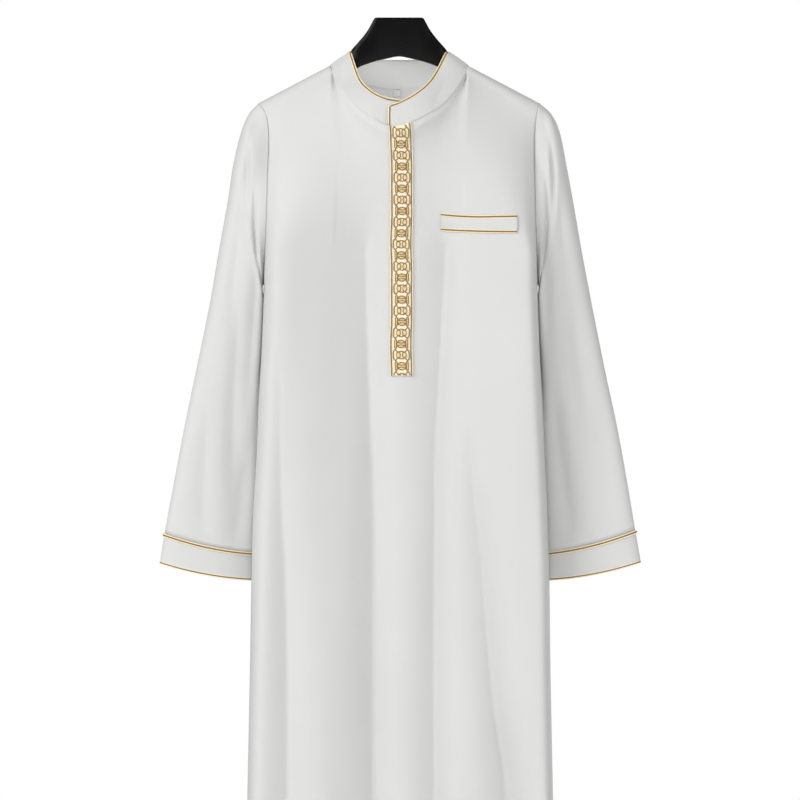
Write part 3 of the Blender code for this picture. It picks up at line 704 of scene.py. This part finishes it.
def collar_grid(pairs):
    """Rows of the collar, from the top edge down to the seam."""
    count = len(pairs)
    grid = []
    for share in spread(0.0, 1.0, 14):
        row = []
        for i, (base, top, _) in enumerate(pairs):
            up = (top - base).normalized()
            outward = Vector((base.x, base.y, 0.0)).normalized()
            step = SEAM_STEP_LEFT if base.x < OVERLAP_END_X else SEAM_STEP
            seam = base - up * COLLAR_LAP + outward * step
            bulge = COLLAR_BULGE * 4.0 * share * (1.0 - share)
            bulge -= crease_depth(i / count, share, COLLAR_CREASES, COLLAR_ROUND, COLLAR_HEIGHT)
            row.append(top.lerp(seam, share) + outward * bulge)
        grid.append(row)
    return grid


# Meshes


def add_object(name, data):
    """An object put into the scene."""
    item = bpy.data.objects.new(name, data)
    bpy.context.scene.collection.objects.link(item)
    return item


def new_object(name, points, faces, materials, smooth_faces=True):
    """One mesh object from points and faces, or from points and (face, material) pairs."""
    mesh = bpy.data.meshes.new(name)
    slots = None
    if faces and isinstance(faces[0][0], tuple):
        slots = [slot for _, slot in faces]
        faces = [face for face, _ in faces]
    mesh.from_pydata([tuple(point) for point in points], [], faces)
    for material in materials:
        mesh.materials.append(material)
    if slots:
        mesh.polygons.foreach_set("material_index", slots)
    mesh.polygons.foreach_set("use_smooth", [smooth_faces] * len(mesh.polygons))
    return add_object(name, mesh)


def grid_faces(rows, columns, closed=False, flip=False):
    """Quads between rows of points."""
    faces = []
    last = columns if closed else columns - 1
    for j in range(rows - 1):
        for i in range(last):
            k = (i + 1) % columns
            face = (j * columns + i, j * columns + k, (j + 1) * columns + k, (j + 1) * columns + i)
            faces.append(tuple(reversed(face)) if flip else face)
    return faces


def add_cloth(name, grid, materials, closed=False, flip=False, wall=WALL, lined=False):
    """A thin shell with the grid as its outer face."""
    points = [point for row in grid for point in row]
    faces = grid_faces(len(grid), len(grid[0]), closed, flip)
    item = new_object(name, points, faces, materials)
    shell = item.modifiers.new("wall", "SOLIDIFY")
    shell.thickness = wall
    shell.offset = -1.0
    shell.use_even_offset = False
    # The inner face takes the second material, which on the collar and the back is the lighter inside cloth:
    # painted light for the shaded inside.
    shell.material_offset = 1 if lined else 0
    return item


def surface(grid, flip):
    """A tree of faces for measuring on a panel."""
    points = [point for row in grid for point in row]
    return BVHTree.FromPolygons(points, grid_faces(len(grid), len(grid[0]), False, flip))


def on_front(tree, x, z, lift):
    """A point lifted off the front panel."""
    hit, normal, _, _ = tree.ray_cast(Vector((x, -1.0, z)), Vector((0.0, 1.0, 0.0)))
    if hit is None:
        hit, normal, _, _ = tree.find_nearest(Vector((x, -0.07, z)))
    if normal.y > 0.0:
        normal = -normal
    return hit + normal * lift


def frames_along(path, closed):
    """Each point of a path with two directions square to the path, carried along without a twist."""
    count = len(path)
    across = None
    frames = []
    for i, point in enumerate(path):
        before = path[i - 1] if (closed or i > 0) else point
        after = path[(i + 1) % count] if (closed or i < count - 1) else point
        along = (after - before).normalized()
        if across is None:
            across = along.orthogonal().normalized()
        across = (across - along * across.dot(along)).normalized()
        frames.append((point, across, along.cross(across)))
    return frames


class Strands:
    """Round strands gathered into one mesh."""

    def __init__(self):
        self.points = []
        self.faces = []

    def tube(self, path, radius, slot, sides=6, closed=False):
        """A tube along a path, capped where the path is open."""
        count = len(path)
        start = len(self.points)
        for point, across, other in frames_along(path, closed):
            for k in range(sides):
                angle = 2.0 * math.pi * k / sides
                self.points.append(point + (across * math.cos(angle) + other * math.sin(angle)) * radius)
        rings = count if closed else count - 1
        shift = self.best_shift(start, count, sides) if closed else 0
        for i in range(rings):
            low = start + i * sides
            wraps = closed and i == count - 1
            high = start if wraps else low + sides
            turn = shift if wraps else 0
            for k in range(sides):
                m = (k + 1) % sides
                quad = (low + k, low + m, high + (m + turn) % sides, high + (k + turn) % sides)
                self.faces.append((quad, slot))
        if not closed:
            end = start + (count - 1) * sides
            self.faces.append((tuple(reversed(range(start, start + sides))), slot))
            self.faces.append((tuple(range(end, end + sides)), slot))

    def best_shift(self, start, count, sides):
        """How many points the last ring is turned against the first."""
        first = self.points[start]
        end = start + (count - 1) * sides
        distances = [(self.points[end + k] - first).length for k in range(sides)]
        return (-distances.index(min(distances))) % sides

    def twisted(self, path, radius, slot, pitch=0.0042, closed=False):
        """Two strands turned round each other along a path."""
        fine = resample(path, pitch / 8.0, closed)
        length = sum((b - a).length for a, b in zip(fine, fine[1:]))
        turns = max(1, round(length / pitch))
        frames = frames_along(fine, closed)
        for k in range(2):
            thread = []
            for i, (point, side, other) in enumerate(frames):
                angle = 2.0 * math.pi * (turns * i / len(fine) + k / 2)
                offset = (side * math.cos(angle) + other * math.sin(angle)) * radius * 0.45
                thread.append(point + offset)
            self.tube(thread, radius * 0.58, slot, 5, closed)

    def build(self, name, materials):
        """The gathered strands as one object."""
        return new_object(name, self.points, self.faces, materials)


def resample(path, step, closed=False):
    """A path with points an even step apart."""
    corners = list(path) + ([path[0]] if closed else [])
    lengths = [0.0]
    for a, b in zip(corners, corners[1:]):
        lengths.append(lengths[-1] + (b - a).length)
    count = max(2, round(lengths[-1] / step))
    result = []
    i = 0
    for k in range(count if closed else count + 1):
        at = lengths[-1] * k / count
        while i < len(lengths) - 2 and lengths[i + 1] < at:
            i += 1
        span = max(1e-9, lengths[i + 1] - lengths[i])
        result.append(corners[i].lerp(corners[i + 1], min(1.0, (at - lengths[i]) / span)))
    return result


# Piping

PIPING_GOLD = 0.0011
PIPING_CREAM = 0.0008
HEM_CORD = 0.85


def ring_piping(ring, axis_ring, lift):
    """Path and directions across for a piping round a cuff."""
    middle = sum(ring, Vector()) / len(ring)
    axis = middle - sum(axis_ring, Vector()) / len(axis_ring)
    axis.normalize()
    path = []
    square = []
    for i, point in enumerate(ring):
        along = ring[(i + 1) % len(ring)] - ring[i - 1]
        outward = along.cross(axis).normalized()
        if outward.dot(point - middle) < 0.0:
            outward = -outward
        path.append(point + outward * lift)
        square.append(axis)
    return path, square


def collar_piping(grid, pairs, wanted):
    """Path along the collar's top edge, for the columns of one part."""
    path = []
    square = []
    for i, (_, _, part) in enumerate(pairs):
        if part != wanted:
            continue
        top = grid[0][i]
        up = (top - grid[2][i]).normalized()
        inward = Vector((-top.x, -top.y, 0.0)).normalized() * (COLLAR_WALL / 2)
        path.append(top + inward + up * 0.001)
        square.append(up)
    return path, square


# Placket

# Chain of the placket: its middle, its pitch, the first octagon, and half sizes of its parts
CHAIN_X = 0.0037
CHAIN_PITCH = 0.0299
CHAIN_START_Z = -0.1876
CHAIN_ROUNDS = 12
CHAIN_HALF = 0.0104
NECK_HALF = 0.0059
FLAT_HALF = 0.0047
NECK_HEIGHT = 0.0103
LOOP_X = 0.0039
LOOP_HALF = 0.0024
LOOP_TALL = 0.004
CAP_HALF = 0.0066
CAP_TALL = 0.005
LINK_TALL = 0.0049
SATIN_X = 0.004
SATIN_TALL = 0.0036
THREAD = 0.00072
SATIN_THREAD = 0.0006
STRIP_PUFF = 0.0005
# Edge cords of the placket: side, X of the gold cord, X of the cream cord
PLACKET_CORDS = (("left", -0.0096, -0.0112), ("right", 0.0164, 0.0181))


def placket_sway(z):
    """Slight waviness of the placket."""
    lean = -0.0022 * math.exp((z - PLACKET_TOP_LEFT_Z) / 0.011)
    return lean + 0.00045 * math.sin(z * 46.0) + 0.0003 * math.sin(z * 91.0 + 1.0)


def placket_top(x):
    """Height of the placket's slanting top at X."""
    share = (x - PLACKET_LEFT_X) / (PLACKET_RIGHT_X - PLACKET_LEFT_X)
    top = PLACKET_TOP_LEFT_Z + (PLACKET_TOP_RIGHT_Z - PLACKET_TOP_LEFT_Z) * share
    return min(top, top_edge(x / SHOULDER_X, -1)[1] - 0.001)


def placket_grid(tree):
    """Points of the strip, from the top down."""
    xs = spread(PLACKET_LEFT_X, PLACKET_RIGHT_X, 12)
    grid = []
    for share in spread(0.0, 1.0, 120):
        row = []
        for k, x in enumerate(xs):
            top = placket_top(x)
            z = top + (PLACKET_BOTTOM_Z - top) * share
            puff = STRIP_PUFF * math.sin(math.pi * k / 12) + 0.00012 * math.sin(z * 420.0 + x * 300.0)
            row.append(on_front(tree, x + placket_sway(z), z, WALL + CLEAR + puff))
        grid.append(row)
    return grid


def on_strip(tree, x, z, lift):
    """A point on the placket."""
    return on_front(tree, x + placket_sway(z), z, WALL + CLEAR + 0.0004 + lift)


def placket_line(tree, x, lift):
    """A line down the placket."""
    top = placket_top(x)
    return [on_strip(tree, x, z, lift) for z in spread(top, PLACKET_BOTTOM_Z, 170)]


def stitched(tree, strands, plan, z0, lift, closed=True, radius=THREAD):
    """A thread laid on the placket along plan points around a height, cut off at the strip's ends."""
    path = []
    for x, dz in plan:
        z = z0 + dz
        if not PLACKET_BOTTOM_Z + 0.0006 <= z <= placket_top(CHAIN_X + x) - 0.0006:
            if len(path) > 2:
                strands.tube(path, radius, 0)
            path = []
            closed = False
            continue
        path.append(on_strip(tree, CHAIN_X + x, z, lift))
    if len(path) > 2:
        strands.tube(path, radius, 0, closed=closed)


def oval(x0, dz0, rx, rz, steps=20, start=0.0, end=360.0):
    """Plan points of an oval or a part of it."""
    points = []
    full = end - start >= 360.0
    for k in range(steps if full else steps + 1):
        angle = math.radians(start + (end - start) * k / steps)
        points.append((x0 + rx * math.cos(angle), dz0 + rz * math.sin(angle)))
    return points


def side_plan(side):
    """Plan points of one side of the octagons, which narrows to a neck between two of them."""
    corners = [(CHAIN_HALF, -FLAT_HALF), (CHAIN_HALF, FLAT_HALF), (NECK_HALF, NECK_HEIGHT),
               (NECK_HALF, CHAIN_PITCH - NECK_HEIGHT), (CHAIN_HALF, CHAIN_PITCH - FLAT_HALF)]
    fine = []
    for k in range(-1, CHAIN_ROUNDS + 1):
        for (x, z), (nx, nz) in zip(corners, corners[1:]):
            fine += [(x + (nx - x) * q / 5, -k * CHAIN_PITCH + z + (nz - z) * q / 5) for q in range(5)]
    fine.sort(key=lambda point: -point[1])
    soft = []
    for i, (x, z) in enumerate(fine):
        before = fine[max(0, i - 1)][0]
        after = fine[min(len(fine) - 1, i + 1)][0]
        soft.append((side * (before + 2.0 * x + after) / 4.0, z))
    return soft


def chain(tree, strands, fill):
    """The chain down the placket: octagons with a double loop inside, and a link at each neck."""

    def line(plan, z, lift, weight=1.0):
        stitched(tree, strands, plan, z, lift, False, THREAD * weight)

    def satin(plan, z, radius=SATIN_THREAD):
        stitched(tree, fill, plan, z, 0.0001, False, radius)

    cap = oval(0.0, 0.0, CAP_HALF, CAP_TALL, 10, 40, 140)
    for side in (-1, 1):
        line(side_plan(side), CHAIN_START_Z, 0.0003, 1.1)
    for k in range(-1, CHAIN_ROUNDS):
        z0 = CHAIN_START_Z - CHAIN_PITCH * k
        for side in (-1, 1):
            stitched(tree, strands, oval(side * LOOP_X, 0.0, LOOP_HALF, LOOP_TALL, 18), z0, 0.0005)
            for up in (-1, 1):
                tick = [(side * (0.005 + 0.0034 * q), up * (0.0043 + 0.0036 * q)) for q in spread(0, 1, 4)]
                line(tick, z0, 0.0004, 0.9)
                if side > 0:
                    line([(x, up * z) for x, z in cap], z0, 0.0007)
        for x in (-0.0054, -0.004, -0.0026, 0.0026, 0.004, 0.0054):
            reach = SATIN_TALL * math.sqrt(1.0 - ((abs(x) - SATIN_X) / LOOP_HALF) ** 2)
            satin([(x, reach * q) for q in spread(-1, 1, 4)], z0, 0.0007)
    for k in range(-2, CHAIN_ROUNDS):
        link_z = CHAIN_START_Z - CHAIN_PITCH * (k + 0.5)
        stitched(tree, strands, oval(0.0, 0.0, NECK_HALF, LINK_TALL, 24), link_z, 0.0008)
        for dz in spread(-0.0034, 0.0034, 4):
            reach = NECK_HALF * math.sqrt(1.0 - (dz / LINK_TALL) ** 2)
            satin([(reach * q, dz) for q in spread(-1, 1, 4)], link_z)
        for up in (-1, 1):
            arc = [(0.005 * q, up * (0.0021 - 0.0007 * (1 - q * q))) for q in spread(-1, 1, 8)]
            line(arc, link_z, 0.001, 0.85)
        for side in (-1, 1):
            line([(side * 0.0086, dz) for dz in spread(-0.0054, 0.0054, 5)], link_z, 0.0003, 0.9)
            satin([(side * 0.0073, dz) for dz in spread(-0.0048, 0.0048, 5)], link_z)


# Pocket and label

WELT_INSET = 0.0016
WELT_PUFF = 0.0004
WELT_CORD_LIFT = 0.0013
LABEL_TOP_Z = -0.096
LABEL_BOTTOM_Z = -0.106
LABEL_LEFT_X = -0.0078
LABEL_RIGHT_X = 0.0024


def pocket_rows(tree):
    """Grid of the welt, and the paths of its two pipings."""
    grid = []
    x0, x1 = POCKET[0][0], POCKET[-1][0]
    for share in spread(0.0, 1.0, 10):
        row = []
        for x in spread(x0, x1, 50):
            top = from_table(POCKET, x, 1) - WELT_INSET
            bottom = from_table(POCKET, x, 2) + WELT_INSET
            z = top + (bottom - top) * share
            puff = WELT_PUFF * math.sin(math.pi * share)
            row.append(on_front(tree, x, z, WALL + CLEAR + puff))
        grid.append(row)
    xs = spread(x0, x1 - 0.0012, 60)
    paths = [[on_front(tree, x, from_table(POCKET, x, k), WELT_CORD_LIFT) for x in xs] for k in (1, 2)]
    return grid, paths


def label_grid(tree):
    """Points of the bare tag inside the back neck."""
    grid = []
    for z in spread(LABEL_TOP_Z, LABEL_BOTTOM_Z, 6):
        row = []
        for x in spread(LABEL_LEFT_X, LABEL_RIGHT_X, 6):
            hit, _, _, _ = tree.ray_cast(Vector((x, 1.0, z)), Vector((0.0, -1.0, 0.0)))
            curl = 0.0008 * ((x + 0.0027) / 0.0048) ** 2
            row.append(hit - Vector((0.0, WALL + 0.0012 + curl, 0.0)))
        grid.append(row)
    return grid


# Hanger

HANGER_EDGE = 0.0022
CHAMFER_DEEP = 0.0021
CHAMFER_TALL = 0.008
CHAMFER_START_X = 0.029
CHAMFER_END_X = 0.066
ARM_X = 0.06


def hanger_section(x, top, bottom, half):
    """Outline of the hanger square to X: a flat chamfer along the flanks, small rounds elsewhere."""
    height = top - bottom
    flank = smooth((abs(x) - CHAMFER_START_X) / 0.005) * smooth((CHAMFER_END_X - abs(x)) / 0.006)
    points = []
    for sy, sz, start in ((1, 1, 0), (-1, 1, 90), (-1, -1, 180), (1, -1, 270)):
        rounding = HANGER_EDGE if abs(x) < ARM_X else height
        radius = min(rounding, half * 0.94, height * 0.45)
        deep, tall = radius, radius
        if sz > 0:
            deep += (CHAMFER_DEEP - radius) * flank
            tall += (CHAMFER_TALL - radius) * flank
        corner_y, corner_z = half - deep, (top - tall) if sz > 0 else (bottom + tall)
        for step in spread(0, 90, 8):
            angle = math.radians(start + step)
            y = corner_y + deep * abs(math.cos(angle))
            z = corner_z + tall * math.sin(angle)
            share = step / 90 if sy * sz > 0 else 1 - step / 90
            flat_y = half - deep * share
            flat_z = corner_z + tall * share
            if sz > 0:
                y += (flat_y - y) * flank * 0.85
                z += (flat_z - z) * flank * 0.85
            points.append(Vector((x, sy * y, z)))
    return points


def make_hanger(material):
    """One moulded plate that widens into two arms."""
    xs = both_halves([row[0] for row in HANGER[1:]], [6] * len(HANGER))
    rings = [hanger_section(x, *[from_table(HANGER, abs(x), k) for k in (1, 2, 3)]) for x in xs]
    count = len(rings[0])
    points = [point for ring in rings for point in ring]
    faces = grid_faces(len(rings), count, closed=True)
    faces.append(tuple(reversed(range(count))))
    end = (len(rings) - 1) * count
    faces.append(tuple(range(end, end + count)))
    return new_object("hanger_body", points, faces, [material])


# Materials


def node(tree, kind, **values):
    """A node with values set on its inputs or its own settings."""
    item = tree.nodes.new(kind)
    for name, value in values.items():
        if name in item.inputs:
            item.inputs[name].default_value = value
        else:
            setattr(item, name, value)
    return item


def new_material(name, **values):
    """A material with its tree, shader and object coordinates, and values set on the shader."""
    material = bpy.data.materials.new(name)
    material.use_nodes = True
    tree = material.node_tree
    shader = tree.nodes["Principled BSDF"]
    for socket, value in values.items():
        shader.inputs[socket.replace("_", " ")].default_value = value
    return material, tree, shader, node(tree, "ShaderNodeTexCoord").outputs["Object"]


def noise(tree, place, scale, detail):
    """A pattern of slow or fine spots."""
    pattern = node(tree, "ShaderNodeTexNoise", Scale=scale, Detail=detail)
    tree.links.new(place, pattern.inputs["Vector"])
    return pattern.outputs["Fac"]


def two_tone(tree, shader, pattern, colour, shade):
    """Base colour from two close tones, mixed by a pattern."""
    mix = node(tree, "ShaderNodeMix", data_type="RGBA")
    mix.inputs[6].default_value = (*colour, 1.0)
    mix.inputs[7].default_value = (*shade, 1.0)
    tree.links.new(pattern, mix.inputs[0])
    tree.links.new(mix.outputs[2], shader.inputs["Base Color"])
    return mix.outputs[2]


def blend_shaders(tree, share, first, second, out):
    """Mix two shaders by a share, which is a number or an output, into the surface."""
    blend = node(tree, "ShaderNodeMixShader")
    if isinstance(share, float):
        blend.inputs[0].default_value = share
    else:
        tree.links.new(share, blend.inputs[0])
    tree.links.new(first.outputs[0], blend.inputs[1])
    tree.links.new(second.outputs[0], blend.inputs[2])
    tree.links.new(blend.outputs[0], out.inputs["Surface"])


def add_relief(tree, shader, pattern, strength):
    """Fine relief from a pattern."""
    relief = node(tree, "ShaderNodeBump", Strength=strength, Distance=0.0002)
    tree.links.new(pattern, relief.inputs["Height"])
    tree.links.new(relief.outputs["Normal"], shader.inputs["Normal"])


def woven(name, colour, shade, roughness, sheen, thread_scale, bump, glow=0.0):
    """Cloth: two close colours in slow patches, a fine weave, a soft sheen, and light through it."""
    material, tree, shader, place = new_material(
        name, Roughness=roughness, Sheen_Weight=sheen, Sheen_Roughness=0.4, Specular_IOR_Level=0.35)
    tint = two_tone(tree, shader, noise(tree, place, 9.0, 3.0), colour, shade)
    weave = node(tree, "ShaderNodeMath", operation="MULTIPLY")
    for k, direction in enumerate("XZ"):
        wave = node(
            tree, "ShaderNodeTexWave", bands_direction=direction, Scale=thread_scale, Distortion=0.6)
        tree.links.new(place, wave.inputs["Vector"])
        tree.links.new(wave.outputs["Fac"], weave.inputs[k])
    add_relief(tree, shader, weave.outputs["Value"], bump)
    if glow:
        through = node(tree, "ShaderNodeBsdfTranslucent")
        tree.links.new(tint, through.inputs["Color"])
        blend_shaders(tree, glow, shader, through, tree.nodes["Material Output"])
    return material


def thread(name, colour, shade, roughness, metallic):
    """Shining thread with fine turns."""
    material, tree, shader, place = new_material(
        name, Roughness=roughness, Metallic=metallic, Sheen_Weight=0.1)
    grain = noise(tree, place, 700.0, 2.0)
    two_tone(tree, shader, grain, colour, shade)
    add_relief(tree, shader, grain, 0.5)
    return material


def moulded(name):
    """Black satin plastic with a faint grain."""
    material, tree, shader, place = new_material(name, Specular_IOR_Level=0.09)
    patches = noise(tree, place, 30.0, 2.0)
    ramp = node(tree, "ShaderNodeMapRange")
    for socket, value in (("To Min", 0.24), ("To Max", 0.34)):
        ramp.inputs[socket].default_value = value
    tree.links.new(patches, ramp.inputs["Value"])
    tree.links.new(ramp.outputs["Result"], shader.inputs["Roughness"])
    two_tone(tree, shader, patches, (0.002, 0.002, 0.002), (0.0038, 0.0038, 0.004))
    add_relief(tree, shader, noise(tree, place, 900.0, 2.0), 0.15)
    return material


def make_materials():
    """Every material, by a short name."""
    return {
        "cloth": woven("robe_cloth", (0.745, 0.745, 0.735), (0.71, 0.71, 0.7), 0.62, 0.25, 900.0, 0.25, 0.22),
        # Inside of the collar and the back: the robe's white cloth with its colour raised above the outer
        # face's, painted light for the shaded inside.
        "inside_painted_light": woven("robe_inside_painted_light", (0.9, 0.9, 0.89), (0.87, 0.87, 0.86), 0.65, 0.2, 900.0, 0.25, 0.25),
        "strip": woven("placket_cloth", (0.84, 0.78, 0.63), (0.8, 0.72, 0.54), 0.6, 0.2, 700.0, 0.3),
        "tag": woven("label_cloth", (0.78, 0.78, 0.78), (0.72, 0.72, 0.73), 0.55, 0.1, 600.0, 0.3),
        "gold": thread("gold_thread", (0.21, 0.112, 0.014), (0.37, 0.21, 0.036), 0.45, 0.1),
        "pale_gold": thread("pale_gold_thread", (0.82, 0.61, 0.27), (0.9, 0.75, 0.45), 0.45, 0.0),
        "cream": thread("cream_thread", (0.93, 0.83, 0.62), (0.86, 0.73, 0.49), 0.5, 0.0),
        "black": moulded("hanger_plastic"),
    }


# Stage

FLOOR_RADIUS = 1.9
FLOOR_Z = -1.48
CAMERA_PLACE = (0.00135, -12.03, -0.5175)
LENS = 400.0
FILL = 0.385
# Soft lights: name, place, side, power
LIGHT_TARGET = (0.0, 0.0, -0.6)
LIGHTS = (
    ("key", (-2.8, -2.4, 1.0), 2.4, 116.0),
    ("right", (2.6, -2.8, 0.2), 2.2, 45.0),
    ("front", (0.2, -4.1, -1.2), 1.6, 36.0),
    ("back", (0.8, 3.6, 0.3), 2.4, 75.0),
)


def area_light(name, place, target, size_x, size_y, power):
    """A soft rectangular light that looks at a target."""
    light = bpy.data.lights.new(name, "AREA")
    light.shape = "RECTANGLE"
    light.size = size_x
    light.size_y = size_y
    light.energy = power
    item = add_object(name, light)
    item.location = place
    item.rotation_euler = (Vector(target) - Vector(place)).to_track_quat("-Z", "Y").to_euler()
    return item


def make_stage():
    """Pale floor, white surroundings, soft lights, a small one inside the neck, and the camera."""
    scene = bpy.context.scene
    scene.view_settings.view_transform = "Standard"
    angles = [math.pi * k / 48 for k in range(96)]
    rim = [(FLOOR_RADIUS * math.cos(a), FLOOR_RADIUS * math.sin(a), FLOOR_Z) for a in angles]
    paint = woven("floor_paint", (0.8, 0.8, 0.8), (0.76, 0.76, 0.76), 0.8, 0.0, 60.0, 0.05)
    floor = new_object("floor", rim, [tuple(range(len(rim)))], [paint], False)
    world = bpy.data.worlds.new("surroundings")
    scene.world = world
    world.use_nodes = True
    tree = world.node_tree
    tree.nodes.clear()
    rays = node(tree, "ShaderNodeLightPath")
    seen = node(tree, "ShaderNodeBackground", Strength=1.0, Color=(1.0, 1.0, 1.0, 1.0))
    fill = node(tree, "ShaderNodeBackground", Strength=FILL, Color=(0.98, 1.0, 1.0, 1.0))
    out = node(tree, "ShaderNodeOutputWorld")
    blend_shaders(tree, rays.outputs["Is Camera Ray"], fill, seen, out)
    for name, place, size, power in LIGHTS:
        area_light(name, place, LIGHT_TARGET, size, size, power)
    glow = area_light("neck", (0.0, -0.026, -0.13), (0.0, 0.04, -0.086), 0.06, 0.02, 0.028)
    glow.visible_camera = False
    camera_data = bpy.data.cameras.new("camera")
    camera_data.lens = LENS
    camera_data.sensor_width = 36.0
    camera = add_object("camera", camera_data)
    camera.location = CAMERA_PLACE
    camera.rotation_euler = (math.radians(90.0), 0.0, 0.0)
    scene.camera = camera


# The whole object

# Flat size of what shows of each cloth: width, length, area
FRONT_CUT = (0.56, 1.35, 0.662)
BACK_CUT = (0.49, 1.35, 0.58)
SLEEVE_CUT = (0.33, 0.6, 0.118)
CUFF_CUT = (0.327, 0.035, 0.0112)
COLLAR_CUT = (0.436, 0.039, 0.0163)
PLACKET_CUT = (0.0298, 0.345, 0.0102)
WELT_CUT = (0.103, 0.0175, 0.00176)
LABEL_CUT = (0.0104, 0.0104, 0.000108)


def cloth_piece(name, grid, materials, solid, cut, held, rests, slot="cloth_white", **shape):
    """A piece of cloth in place of a solid; its flat size and what holds it are given but not used."""
    item = add_cloth(name, grid, materials, **shape)
    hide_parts(solid)
    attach(item, "root")


def trim_piece(strands, name, materials, *solids):
    """A piece of piping or thread, in place of a solid where there is one."""
    item = strands.build(name, materials)
    if solids:
        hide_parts(*solids)
    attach(item, "root")


def piping_piece(name, solid, path, square, paint, gold=1.0, cream=1.0, closed=False):
    """A gold cord with a cream cord along each side. Square holds the direction across for each point."""
    cord = Strands()
    gold_radius = PIPING_GOLD * gold
    cream_radius = PIPING_CREAM * cream
    cord.twisted(path, gold_radius, 0, closed=closed)
    for sign in (1, -1):
        reach = sign * (gold_radius + cream_radius * 0.75)
        cord.tube([point + way * reach for point, way in zip(path, square)], cream_radius, 1, 7, closed)
    trim_piece(cord, name, [paint["gold"], paint["cream"]], solid)


def make_sleeve(word, side, front_points, back_points, paint):
    """A sleeve and its cuff, with a piping on the seam and one on the hem."""
    grid = sleeve_grid(side, front_points, back_points)
    cloth_piece("sleeve_cloth_" + word, grid, [paint["cloth"]], "sleeve_" + word, SLEEVE_CUT,
                "hung", "front_cloth", closed=True, flip=side < 0)
    rings = cuff_grid(side)
    cloth_piece("cuff_cloth_" + word, rings, [paint["cloth"]], "cuff_" + word, CUFF_CUT,
                "hung", "sleeve_cloth_" + word, closed=True, flip=side < 0)
    path, square = ring_piping(rings[1], rings[4], 0.0012)
    piping_piece("cuff_cord_" + word, "cuff_piping_" + word, path, square, paint, closed=True)
    path, square = ring_piping(rings[-1], rings[-4], -WALL / 2)
    path = [point + square[0] * 0.0006 for point in path]
    piping_piece("cuff_hem_cord_" + word, "cuff_hem_piping_" + word, path, square, paint,
                 HEM_CORD, HEM_CORD, True)


def make_collar(paint):
    """The stand collar and the piping of its upper and lower end."""
    pairs = collar_pairs()
    grid = collar_grid(pairs)
    cloth_piece("collar_cloth", grid, [paint["cloth"], paint["inside_painted_light"]], "collar", COLLAR_CUT,
                "gathered", "front_cloth", flip=True, wall=COLLAR_WALL, lined=True)
    rows = range(len(grid) - 2, -1, -1)
    leg = [grid[j][0] + Vector((-0.001, COLLAR_WALL / 2, 0.0)) for j in rows]
    leg_square = [Vector((-1.0, 0.0, 0.0)) for _ in rows]
    for word, start, start_square in (("over", leg, leg_square), ("under", [], [])):
        path, square = collar_piping(grid, pairs, word)
        piping_piece("collar_cord_" + word, "collar_piping_" + word,
                     start + path, start_square + square, paint)


def make_placket(tree, paint):
    """The strip down the front with its edge cords and its embroidery."""
    cloth_piece("placket_strip", placket_grid(tree), [paint["strip"]], "placket", PLACKET_CUT,
                "laid", "front_cloth", "placket_cream", flip=True, wall=THIN_WALL)
    for word, gold_x, cream_x in PLACKET_CORDS:
        cord = Strands()
        cord.twisted(placket_line(tree, gold_x, 0.0005), 0.0007, 0, pitch=0.0034)
        cord.tube(placket_line(tree, cream_x, 0.0002), 0.0006, 1, 8)
        trim_piece(cord, "placket_edge_" + word, [paint["gold"], paint["cream"]], "placket_cord_" + word)
    embroidery = Strands()
    satin = Strands()
    chain(tree, embroidery, satin)
    trim_piece(satin, "satin_fill", [paint["pale_gold"]])
    trim_piece(embroidery, "chain_embroidery", [paint["gold"]])


def make_pocket(tree, paint):
    """The welt of the breast pocket and its two pipings."""
    grid, paths = pocket_rows(tree)
    cloth_piece("pocket_welt_cloth", grid, [paint["cloth"]], "pocket_welt", WELT_CUT,
                "laid", "front_cloth", flip=True, wall=THIN_WALL)
    for word, path in zip(("top", "bottom"), paths):
        square = [Vector((0.0, 0.0, 1.0))] * len(path)
        piping_piece("pocket_cord_" + word, "pocket_piping_" + word, path, square, paint, cream=0.85)


def main():
    paint = make_materials()
    hanger = make_hanger(paint["black"])
    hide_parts("hanger")
    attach(hanger, "root")

    front_points = panel_grid(-1)
    back_points = panel_grid(1)
    front_tree = surface(front_points, True)
    back_tree = surface(back_points, False)
    cloth_piece("front_cloth", front_points, [paint["cloth"]], "front", FRONT_CUT,
                "hung", "hanger_body", flip=True)
    cloth_piece("back_cloth", back_points, [paint["cloth"], paint["inside_painted_light"]], "back", BACK_CUT,
                "hung", "hanger_body", lined=True)

    for word, side in (("right", -1), ("left", 1)):
        make_sleeve(word, side, front_points, back_points, paint)
    make_collar(paint)
    make_placket(front_tree, paint)
    make_pocket(front_tree, paint)
    cloth_piece("label_cloth_piece", label_grid(back_tree), [paint["tag"]], "size_label", LABEL_CUT,
                "laid", "back_cloth", "label_white", flip=True, wall=TAG_WALL)


main()
make_stage()
